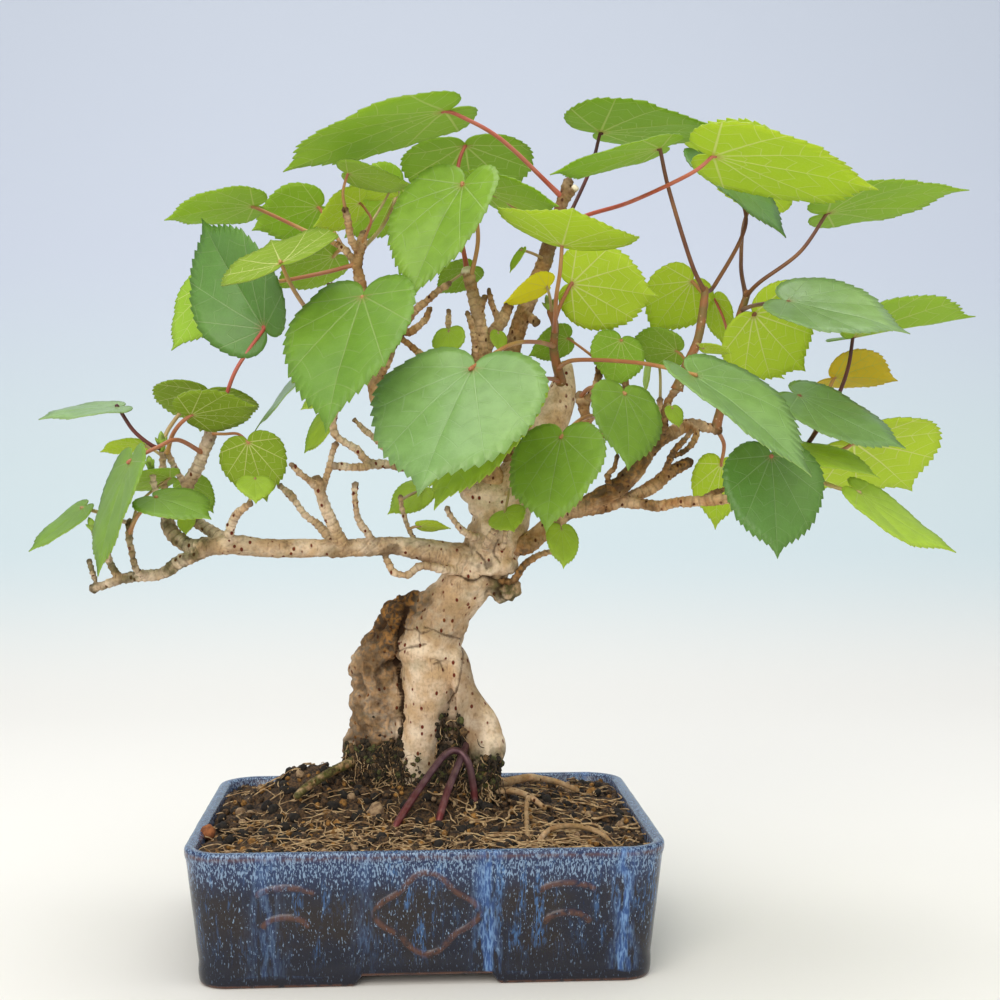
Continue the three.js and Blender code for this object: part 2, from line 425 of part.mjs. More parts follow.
// Rings of points round a centre line, turned as little as possible from ring to ring
function tubeRings(centres, radii, sides) {
  const rings = [];
  let normal = null;
  centres.forEach((centre, j) => {
    const before = centres[Math.max(j - 1, 0)];
    const after = centres[Math.min(j + 1, centres.length - 1)];
    const along = after.clone().sub(before).normalize();
    if (!normal) {
      normal = Math.abs(along.z) > 0.7 ? new THREE.Vector3(1, 0, 0) : new THREE.Vector3(0, 0, 1);
    }
    normal = normal.clone().addScaledVector(along, -normal.dot(along)).normalize();
    const side = along.clone().cross(normal);
    const ring = [];
    for (let i = 0; i < sides; i += 1) {
      const angle = 2 * Math.PI * i / sides;
      ring.push(centre.clone()
        .addScaledVector(normal, radii[j] * Math.cos(angle))
        .addScaledVector(side, radii[j] * Math.sin(angle)));
    }
    rings.push(ring);
  });
  return rings;
}

function tube(centres, radii, sides) {
  return loft(tubeRings(centres, radii, sides));
}

function lump(centre, halfSizes) {
  const detail = Math.max(...halfSizes) > 11 ? 1 : 0;
  const shape = mergeVertices(new THREE.IcosahedronGeometry(1, detail).deleteAttribute("normal").deleteAttribute("uv"));
  shape.scale(...halfSizes);
  shape.translate(centre.x, centre.y, centre.z);
  return solidOf(shape.attributes.position.array, shape.index.array);
}

function roundedRect(width, depth, corner, steps) {
  const points = [];
  const x = width / 2 - corner;
  const y = depth / 2 - corner;
  [[x, y], [-x, y], [-x, -y], [x, -y]].forEach(([cx, cy], quarter) => {
    for (let i = 0; i <= steps; i += 1) {
      const angle = (quarter + i / steps) * Math.PI / 2;
      points.push([cx + corner * Math.cos(angle), cy + corner * Math.sin(angle)]);
    }
  });
  return points;
}

function level(outline, z) {
  return outline.map(([x, y]) => new THREE.Vector3(x, y, z));
}

function box(width, depth, height, x, y, z) {
  const shape = new THREE.BoxGeometry(width, depth, height);
  shape.translate(x, y, z + height / 2);
  const clean = mergeVertices(shape.deleteAttribute("normal").deleteAttribute("uv"));
  return solidOf(clean.attributes.position.array, clean.index.array);
}

// Outside of the pot wall: how much it stands in from the rim at a height
function wallInset(z) {
  return POT_TAPER * (1 - z / POT_HEIGHT);
}

function potLevel(z, inset, steps = 4) {
  const back = wallInset(z) + inset;
  return level(roundedRect(POT_WIDTH - 2 * back, POT_DEPTH - 2 * back, POT_CORNER - Math.min(back, 12), steps), z);
}

// The pot's inside, or the soil's sides with a clearance
function cavity(clearance, bottom, top) {
  return loft([potLevel(bottom, POT_WALL + clearance, 4), potLevel(top, POT_WALL + clearance, 4)]);
}

// Low relief: a ring of four lobes in the middle, two arcs on each side
function reliefTrack(x, z, radius, lobes, from, to, steps, face) {
  const track = [];
  for (let i = 0; i <= steps; i += 1) {
    const angle = from + (to - from) * i / steps;
    const r = radius * (1 + 0.14 * Math.cos(lobes * angle));
    const height = z + r * 0.82 * Math.sin(angle);
    const wall = POT_DEPTH / 2 - wallInset(height) - RELIEF_STROKE / 2 + RELIEF_HEIGHT;
    track.push(new THREE.Vector3(x + r * Math.cos(angle), face * wall, height));
  }
  return track;
}

function relief(face) {
  const strokes = [reliefTrack(0, 33, 20, 4, 0.1, 2.2 * Math.PI, 13, face)];
  [-1, 1].forEach((side) => {
    strokes.push(reliefTrack(side * 62, 36, 14, 2, 0.2 * Math.PI, 0.8 * Math.PI, 4, face));
    strokes.push(reliefTrack(side * 62, 26, 9, 2, 0.1 * Math.PI, 0.9 * Math.PI, 4, face));
  });
  return strokes.map((track) => {
    const radii = track.map(() => RELIEF_STROKE / 2);
    return tube(track, radii, 4);
  });
}

function makePot() {
  let pot = loft([
    potLevel(0, -0.6), potLevel(8, -0.4), potLevel(10, 0.6), potLevel(POT_HEIGHT - 8, 0.2),
    potLevel(POT_HEIGHT - 4, -0.3), potLevel(POT_HEIGHT - 1.4, -0.1), potLevel(POT_HEIGHT, 1.4),
  ]);
  [-1, 1].forEach((face) => relief(face).forEach((stroke) => {
    pot = pot.add(stroke);
  }));
  pot = pot.subtract(cavity(0, FLOOR_TOP, POT_HEIGHT + 5));
  const under = potLevel(0, FOOT_LEG);
  pot = pot.subtract(loft([under.map((p) => p.clone().setZ(-1)), under.map((p) => p.clone().setZ(FOOT_HEIGHT))]));
  [[FOOT_GAP_FRONT, 0], [FOOT_GAP_SIDE, 1]].forEach(([gap, across]) => {
    const slot = (half) => [[half, 120], [-half, 120], [-half, -120], [half, -120]];
    const turn = ([x, y]) => (across ? [-y, x] : [x, y]);
    const low = gap / 2 + FOOT_SLANT * (1 + 1 / FOOT_HEIGHT);
    pot = pot.subtract(loft([level(slot(low).map(turn), -1), level(slot(gap / 2).map(turn), FOOT_HEIGHT)]));
  });
  [-1, 1].forEach((side) => {
    const hole = new THREE.Path().absarc(side * DRAIN_SPACING / 2, 0, DRAIN_HOLE / 2, 0, 2 * Math.PI)
      .getSpacedPoints(20).slice(0, 20).map((p) => [p.x, p.y]);
    pot = pot.subtract(loft([level(hole, 0), level(hole, FLOOR_TOP + 1)]));
  });
  return pot;
}

function makeDrainMesh(side) {
  const x = side * DRAIN_SPACING / 2;
  const z = FLOOR_TOP + GAP;
  let plate = box(DRAIN_MESH, DRAIN_MESH, DRAIN_MESH_THICK, x, 0, z);
  [-1, 0, 1].forEach((i) => [-1, 0, 1].forEach((j) => {
    plate = plate.subtract(box(DRAIN_MESH_HOLE, DRAIN_MESH_HOLE, 4,
      x + i * DRAIN_MESH_PITCH, j * DRAIN_MESH_PITCH, z - 2));
  }));
  return plate;
}

// Soil surface: a mound under the trunk with a shoulder under the corky root
function soilHeight(x, y) {
  return SOIL_EDGE + SOIL_MOUND * Math.exp(-(((x + 8) / 62) ** 2) - (((y - 8) / 46) ** 2))
    + 14 * Math.exp(-(((x + 58) / 24) ** 2) - (((y - 22) / 26) ** 2));
}

function makeSoil(holes) {
  const random = seeded(41);
  const columns = 13;
  const rows = 10;
  const positions = [];
  const triangles = [];
  const count = (columns + 1) * (rows + 1);
  [1, 0].forEach((top) => {
    for (let j = 0; j <= rows; j += 1) {
      for (let i = 0; i <= columns; i += 1) {
        const x = POT_WIDTH * (i / columns - 0.5);
        const y = POT_DEPTH * (j / rows - 0.5);
        const grain = SOIL_GRAIN * (2 * random() - 1);
        positions.push(x, y, top ? soilHeight(x, y) + grain : 0);
      }
    }
  });
  const quad = (a, b, c, d) => triangles.push(a, b, c, a, c, d);
  for (let j = 0; j < rows; j += 1) {
    for (let i = 0; i < columns; i += 1) {
      const a = j * (columns + 1) + i;
      const d = a + columns + 1;
      quad(a, a + 1, d + 1, d);
      quad(count + a, count + d, count + d + 1, count + a + 1);
    }
  }
  const rim = [];
  for (let i = 0; i < columns; i += 1) rim.push(i);
  for (let j = 0; j < rows; j += 1) rim.push(j * (columns + 1) + columns);
  for (let i = columns; i > 0; i -= 1) rim.push(rows * (columns + 1) + i);
  for (let j = rows; j > 0; j -= 1) rim.push(j * (columns + 1));
  rim.forEach((a, k) => {
    const b = rim[(k + 1) % rim.length];
    quad(a, count + a, count + b, b);
  });
  let soil = solidOf(positions, triangles).intersect(cavity(GAP, FLOOR_TOP + GAP, POT_HEIGHT + 30));
  [-1, 1].forEach((side) => {
    soil = soil.subtract(box(DRAIN_MESH + 2 * GAP, DRAIN_MESH + 2 * GAP, DRAIN_MESH_THICK + 2 * GAP,
      side * DRAIN_SPACING / 2, 0, FLOOR_TOP));
  });
  holes.forEach((hole) => {
    soil = soil.subtract(hole);
  });
  return soil;
}

// Centre line and diameter of each limb
const limbs = new Map();

function nearest(limb, [px, py]) {
  let best = Infinity;
  let found = null;
  limbs.get(limb).samples.forEach((point) => {
    const [u, v] = toPhoto(point);
    const away = (u - px) ** 2 + (v - py) ** 2;
    if (away < best) {
      best = away;
      found = point;
    }
  });
  return found.clone();
}

LIMBS.forEach(([name, parent, at, path]) => {
  const points = path.map(([px, py, depth]) => fromPhoto(px, py, depth));
  const widths = path.map((row) => new THREE.Vector3(row[3], 0, 0));
  if (parent) {
    points.unshift(nearest(parent, at));
    widths.unshift(widths[0].clone());
  }
  const line = smoothCurve(points);
  const thick = smoothCurve(widths);
  limbs.set(name, { line, thick, count: points.length, samples: line.getPoints(160) });
});

function limbSolid(name, clearance) {
  const { line, thick, count } = limbs.get(name);
  const widest = thick.getPoint(0.5).x;
  const sides = widest > 18 ? 9 : widest > 8 ? 6 : widest > 5 ? 4 : 3;
  const rings = Math.max(count - 1, 2);
  const random = seeded(name.length * 131 + name.charCodeAt(0) * 7 + name.charCodeAt(name.length - 1));
  const centres = [];
  const radii = [];
  for (let j = 0; j <= rings; j += 1) {
    const t = j / rings;
    const swell = 1 + (widest > 6 ? 0.05 : 0.02) * (2 * random() - 1);
    centres.push(line.getPoint(t));
    radii.push(thick.getPoint(t).x / 2 * swell + clearance / Math.cos(Math.PI / sides));
  }
  if (clearance) {
    const last = centres.length - 1;
    const ahead = centres[last].clone().sub(centres[last - 1]).setLength(clearance);
    const behind = centres[0].clone().sub(centres[1]).setLength(clearance);
    centres[last].add(ahead);
    centres[0].add(behind);
  }
  return tube(centres, radii, sides);
}

function bladeRadius(angle) {
  const t = Math.abs(angle);
  return 0.68 + 0.17 * Math.exp(-((t / 0.6) ** 2)) + 0.15 * Math.exp(-t / 0.07)
    - 0.6 * smooth((t - 0.6) / 2.4) - 0.05 * Math.exp(-(((Math.PI - t) / 0.3) ** 2));
}

// Outline angles that divide the margin into equal lengths, from the stalk round by the tip
function marginAngles(count) {
  const fine = 360;
  const spots = [];
  for (let i = 0; i <= fine; i += 1) {
    const angle = -Math.PI + 2 * Math.PI * i / fine;
    const r = bladeRadius(angle);
    spots.push([angle, r * Math.cos(angle), r * Math.sin(angle)]);
  }
  const lengths = [0];
  for (let i = 1; i <= fine; i += 1) {
    lengths.push(lengths[i - 1] + Math.hypot(spots[i][1] - spots[i - 1][1], spots[i][2] - spots[i - 1][2]));
  }
  const angles = [];
  let at = 0;
  for (let k = 0; k < count; k += 1) {
    const wanted = lengths[fine] * k / count;
    while (lengths[at + 1] < wanted) {
      at += 1;
    }
    const part = (wanted - lengths[at]) / (lengths[at + 1] - lengths[at]);
    angles.push(spots[at][0] + part * (spots[at + 1][0] - spots[at][0]));
  }
  return angles;
}

// Blade's own axes: along the midrib, across, and out of the upper face
function bladeFrame([, , , , end, tip, turn]) {
  const origin = fromPhoto(...end);
  const along = fromPhoto(...tip).sub(origin);
  const length = along.length();
  along.normalize();
  const view = EYE.clone().sub(origin);
  view.addScaledVector(along, -view.dot(along)).normalize();
  const over = along.clone().cross(view);
  if (over.z < 0) {
    over.negate();
  }
  const angle = THREE.MathUtils.degToRad(turn);
  const out = view.multiplyScalar(Math.sin(angle)).addScaledVector(over, Math.cos(angle));
  const across = out.clone().cross(along);
  return { origin, along, across, out, length };
}

// Height of the blade over its own plane, in leaf lengths
function bladeHeight(x, y, arch, fold, phase) {
  const rise = x > 0 ? 4 * arch * x * (1 - x) : 0;
  const crease = fold * Math.abs(y) * (1 - THREE.MathUtils.clamp(x, 0, 1) ** 2);
  const wave = 0.03 * (x * x + y * y) * Math.sin(5 * Math.atan2(y, x) + phase);
  return rise + crease + wave;
}

function blade(row, index) {
  const [, , , , , , , width, arch, fold] = row;
  const { origin, along, across, out, length } = bladeFrame(row);
  const size = length < 19 ? [6, 0] : length < 32 ? [10, 4] : length < 52 ? [14, 4] : [18, 5];
  const phase = index * 1.7;
  const rim = marginAngles(size[0]).map((angle, i) => {
    const tooth = i % 2 ? 1 + TOOTH : 1 - TOOTH;
    const r = bladeRadius(angle) * (i ? tooth : 1);
    return [r * Math.cos(angle), r * Math.sin(angle) * width];
  });
  const ring = [];
  for (let k = 0; k < size[1]; k += 1) {
    const [x, y] = rim[Math.round(k * size[0] / size[1]) % size[0]];
    ring.push([0.14 + 0.52 * (x - 0.14), 0.52 * y]);
  }
  const flat = [...rim, ...ring, [0.14, 0]];
  const faces = [];
  if (!size[1]) {
    rim.forEach((point, i) => faces.push([i, (i + 1) % size[0], size[0]]));
  }
  for (let k = 0; k < size[1]; k += 1) {
    const from = Math.round(k * size[0] / size[1]);
    const to = Math.round((k + 1) * size[0] / size[1]);
    const here = size[0] + k;
    const next = size[0] + (k + 1) % size[1];
    const half = Math.floor((from + to) / 2);
    for (let i = from; i < to; i += 1) {
      faces.push([i, (i + 1) % size[0], i < half ? here : next]);
    }
    faces.push([here, half % size[0], next]);
    faces.push([here, next, flat.length - 1]);
  }
  const positions = [];
  [0.5, -0.5].forEach((side) => flat.forEach(([x, y]) => {
    const p = origin.clone()
      .addScaledVector(along, x * length)
      .addScaledVector(across, y * length)
      .addScaledVector(out, bladeHeight(x, y, arch, fold, phase) * length + side * BLADE_THICK);
    positions.push(p.x, p.y, p.z);
  }));
  const triangles = [];
  faces.forEach(([a, b, c]) => {
    triangles.push(a, b, c, a + flat.length, c + flat.length, b + flat.length);
  });
  for (let i = 0; i < size[0]; i += 1) {
    const k = (i + 1) % size[0];
    triangles.push(i, i + flat.length, k + flat.length, i, k + flat.length, k);
  }
  return solidOf(positions, triangles);
}

function stalk(row) {
  const [, limb, at, bends, end] = row;
  const { along, length } = bladeFrame(row);
  const points = [nearest(limb, at), ...bends.map((bend) => fromPhoto(...bend)), fromPhoto(...end)];
  const line = smoothCurve(points);
  const steps = length < 19 ? 2 : Math.min(points.length, 3);
  const thin = length < 32 ? 0.7 : 1;
  const centres = [];
  const radii = [];
  for (let j = 0; j <= steps; j += 1) {
    const t = j / steps;
    centres.push(line.getPoint(t));
    radii.push(thin * (STALK_BASE * (1 - t) + STALK_TIP * t) / 2);
  }
  centres[steps].addScaledVector(along, 0.03 * length);
  return tube(centres, radii, 3);
}

function leafSolid(row, index) {
  return blade(row, index).add(stalk(row));
}

function largest(solid) {
  const parts = solid.decompose();
  parts.sort((a, b) => b.volume() - a.volume());
  return parts[0];
}

function makeTree(clearance) {
  const parts = LIMBS.map(([name]) => limbSolid(name, clearance));
  LUMPS.forEach(([px, py, depth, ...half]) => {
    parts.push(lump(fromPhoto(px, py, depth), half.map((size) => size + clearance)));
  });
  BUDS.forEach(([limb, length]) => {
    const tip = limbs.get(limb).line.getPoint(1);
    const ahead = limbs.get(limb).line.getTangent(1);
    const centres = [-0.2, 0.25, 0.7, 1].map((t) => tip.clone().addScaledVector(ahead, t * length));
    parts.push(tube(centres, [1.2, 2.4, 1.8, 0.4].map((r) => r + clearance), 5));
  });
  return wasm.Manifold.union(parts);
}

function makeWire(clearance) {
  const strands = WIRE_STRANDS.map((path) => {
    const line = smoothCurve(path.map(([px, py, depth]) => fromPhoto(px, py, depth)));
    const centres = line.getPoints(path.length + 3);
    return tube(centres, centres.map(() => WIRE_DIAMETER / 2 + clearance), 6);
  });
  return wasm.Manifold.union(strands);
}

const group = new THREE.Group();
group.name = "sea_hibiscus_bonsai";

function addPart(name, solid, colour, roughness) {
  const mesh = solid.getMesh();
  const geometry = new THREE.BufferGeometry();
  geometry.setAttribute("position", new THREE.BufferAttribute(new Float32Array(mesh.vertProperties), 3));
  geometry.setIndex(new THREE.BufferAttribute(new Uint32Array(mesh.triVerts), 1));
  geometry.computeVertexNormals();
  const material = new THREE.MeshStandardMaterial({ color: colour, roughness, metalness: 0 });
  const part = new THREE.Mesh(geometry, material);
  part.name = name;
  group.add(part);
}

const wood = makeTree(0);
const woodGrown = makeTree(GAP);
const wire = largest(makeWire(0).subtract(woodGrown));
const wireGrown = makeWire(GAP / Math.cos(Math.PI / 6));
const young = YOUNG_LEAVES.map((row, index) => leafSolid(row, index + 80));

addPart("pot", makePot(), "#1b2440", 0.25);
addPart("soil", makeSoil([woodGrown, wireGrown]), "#4a3826", 0.95);
addPart("tie_wire", wire, "#4c2f2c", 0.4);
addPart("drain_mesh_left", makeDrainMesh(-1), "#202020", 0.6);
addPart("drain_mesh_right", makeDrainMesh(1), "#202020", 0.6);
addPart("tree", largest(wasm.Manifold.union([wood, ...young]).subtract(wireGrown)), "#b39a7c", 0.85);
LEAVES.forEach((row, index) => {
  const shade = row[6] > 0 ? "#6d9640" : "#93b03c";
  addPart(row[0], largest(leafSolid(row, index).subtract(woodGrown)), shade, 0.5);
});

// The finished assembly stands on the floor with its middle over the origin
const bounds = new THREE.Box3().setFromObject(group);
const middle = bounds.getCenter(new THREE.Vector3());
group.children.forEach((part) => part.geometry.translate(-middle.x, -middle.y, -bounds.min.z));

export default group;
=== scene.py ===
# %% [markdown]
# # Sea hibiscus bonsai in a glazed pot
# The tree is a broad-leaved bonsai: a thick pale trunk on a knobbly root, a long low branch, and big
# heart-shaped leaves on pink stalks. Its pot has a dark blue glaze that ran in the kiln.
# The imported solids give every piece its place. This file gives each piece its finer form and its finish.

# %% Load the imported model
import math
import bpy
import numpy as np
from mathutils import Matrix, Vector


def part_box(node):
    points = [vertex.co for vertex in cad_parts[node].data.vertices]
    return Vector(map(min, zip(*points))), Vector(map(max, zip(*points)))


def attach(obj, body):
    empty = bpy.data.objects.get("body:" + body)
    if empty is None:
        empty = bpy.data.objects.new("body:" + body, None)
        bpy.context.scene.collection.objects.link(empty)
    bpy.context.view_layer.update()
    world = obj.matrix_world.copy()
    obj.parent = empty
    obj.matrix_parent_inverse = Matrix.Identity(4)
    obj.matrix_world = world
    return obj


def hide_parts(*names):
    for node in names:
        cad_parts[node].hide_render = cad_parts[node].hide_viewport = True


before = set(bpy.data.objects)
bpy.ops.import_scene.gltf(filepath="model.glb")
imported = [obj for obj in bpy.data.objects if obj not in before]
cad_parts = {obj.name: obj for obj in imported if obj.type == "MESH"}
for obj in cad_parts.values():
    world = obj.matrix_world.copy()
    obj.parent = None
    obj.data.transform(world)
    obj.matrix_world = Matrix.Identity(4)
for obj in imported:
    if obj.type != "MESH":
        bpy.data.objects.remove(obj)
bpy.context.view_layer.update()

pot_low, pot_high = (np.array(corner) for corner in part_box("pot"))
POT_MIDDLE = np.array([(pot_low[0] + pot_high[0]) / 2, (pot_low[1] + pot_high[1]) / 2, 0.0])
print("packed nodes:", len(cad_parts), "pot middle:", POT_MIDDLE.round(4).tolist())

# %% [markdown]
# All shapes are worked out in millimetres from the middle of the pot's foot, as the solids were,
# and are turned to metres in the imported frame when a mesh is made.

# %% Sizes of the object, in millimetres
POT_WIDTH, POT_DEPTH, POT_HEIGHT = 216, 168, 61.3
POT_TAPER, POT_CORNER, POT_WALL = 7, 20, 5.5
FOOT_HEIGHT, FLOOR_TOP, FOOT_LEG, FOOT_SLANT = 4.5, 11, 17, 5
FOOT_GAP_FRONT, FOOT_GAP_SIDE = 56, 50
DRAIN_HOLE, DRAIN_SPACING = 14, 100
RELIEF_HEIGHT, RELIEF_STROKE = 0.9, 2.4
SOIL_EDGE, SOIL_MOUND = 57.5, 16
WIRE_DIAMETER = 3.6
STALK_BASE, STALK_TIP = 2.3, 1.6
BLADE_THICK = 0.5

# %% [markdown]
# The tree was measured on the photograph, 1000 pixels square. A point is a pixel and a depth behind
# the pot's middle, so the camera's place turns each row of the tables into a place in space.

# %% Where the photograph was taken from
PHOTO_CENTRE, FOCAL_PIXELS = 500, 1500
EYE = np.array([-10.1, -737.3, 229.5])
EYE_TURN, EYE_DIP = math.radians(3.68), math.radians(1.26)


def from_photo(px, py, depth):
    """The point on the ray through a pixel that lies at a depth behind the pot's middle."""
    across, rise = (px - PHOTO_CENTRE) / FOCAL_PIXELS, (PHOTO_CENTRE - py) / FOCAL_PIXELS
    ahead = math.cos(EYE_DIP) + math.sin(EYE_DIP) * rise
    ray = np.array([
        across * math.cos(EYE_TURN) + ahead * math.sin(EYE_TURN),
        -across * math.sin(EYE_TURN) + ahead * math.cos(EYE_TURN),
        rise * math.cos(EYE_DIP) - math.sin(EYE_DIP),
    ])
    return EYE + ray * (depth - EYE[1]) / ray[1]


def to_photo(points):
    """The pixels where points appear: across and up from the view axis, over the distance along it."""
    d = points - EYE
    x = d[:, 0] * math.cos(EYE_TURN) - d[:, 1] * math.sin(EYE_TURN)
    y = d[:, 0] * math.sin(EYE_TURN) + d[:, 1] * math.cos(EYE_TURN)
    away = y * math.cos(EYE_DIP) - d[:, 2] * math.sin(EYE_DIP)
    up = d[:, 2] * math.cos(EYE_DIP) + y * math.sin(EYE_DIP)
    return np.stack([PHOTO_CENTRE + FOCAL_PIXELS * x / away, PHOTO_CENTRE - FOCAL_PIXELS * up / away], 1)


# %% [markdown]
# ## The tree's tables
# Limbs are rows of name, the limb they grow from, the pixel on it, and the course as
# [pixel x, pixel y, depth, diameter]. Leaves are rows of limb, pixel on the limb, bends of the stalk,
# end of the stalk, leaf tip, turn of the upper face in degrees, width, arch and fold. Lumps are balls
# of wood: pixel x, pixel y, depth and three half sizes. Buds are rows of limb and length.

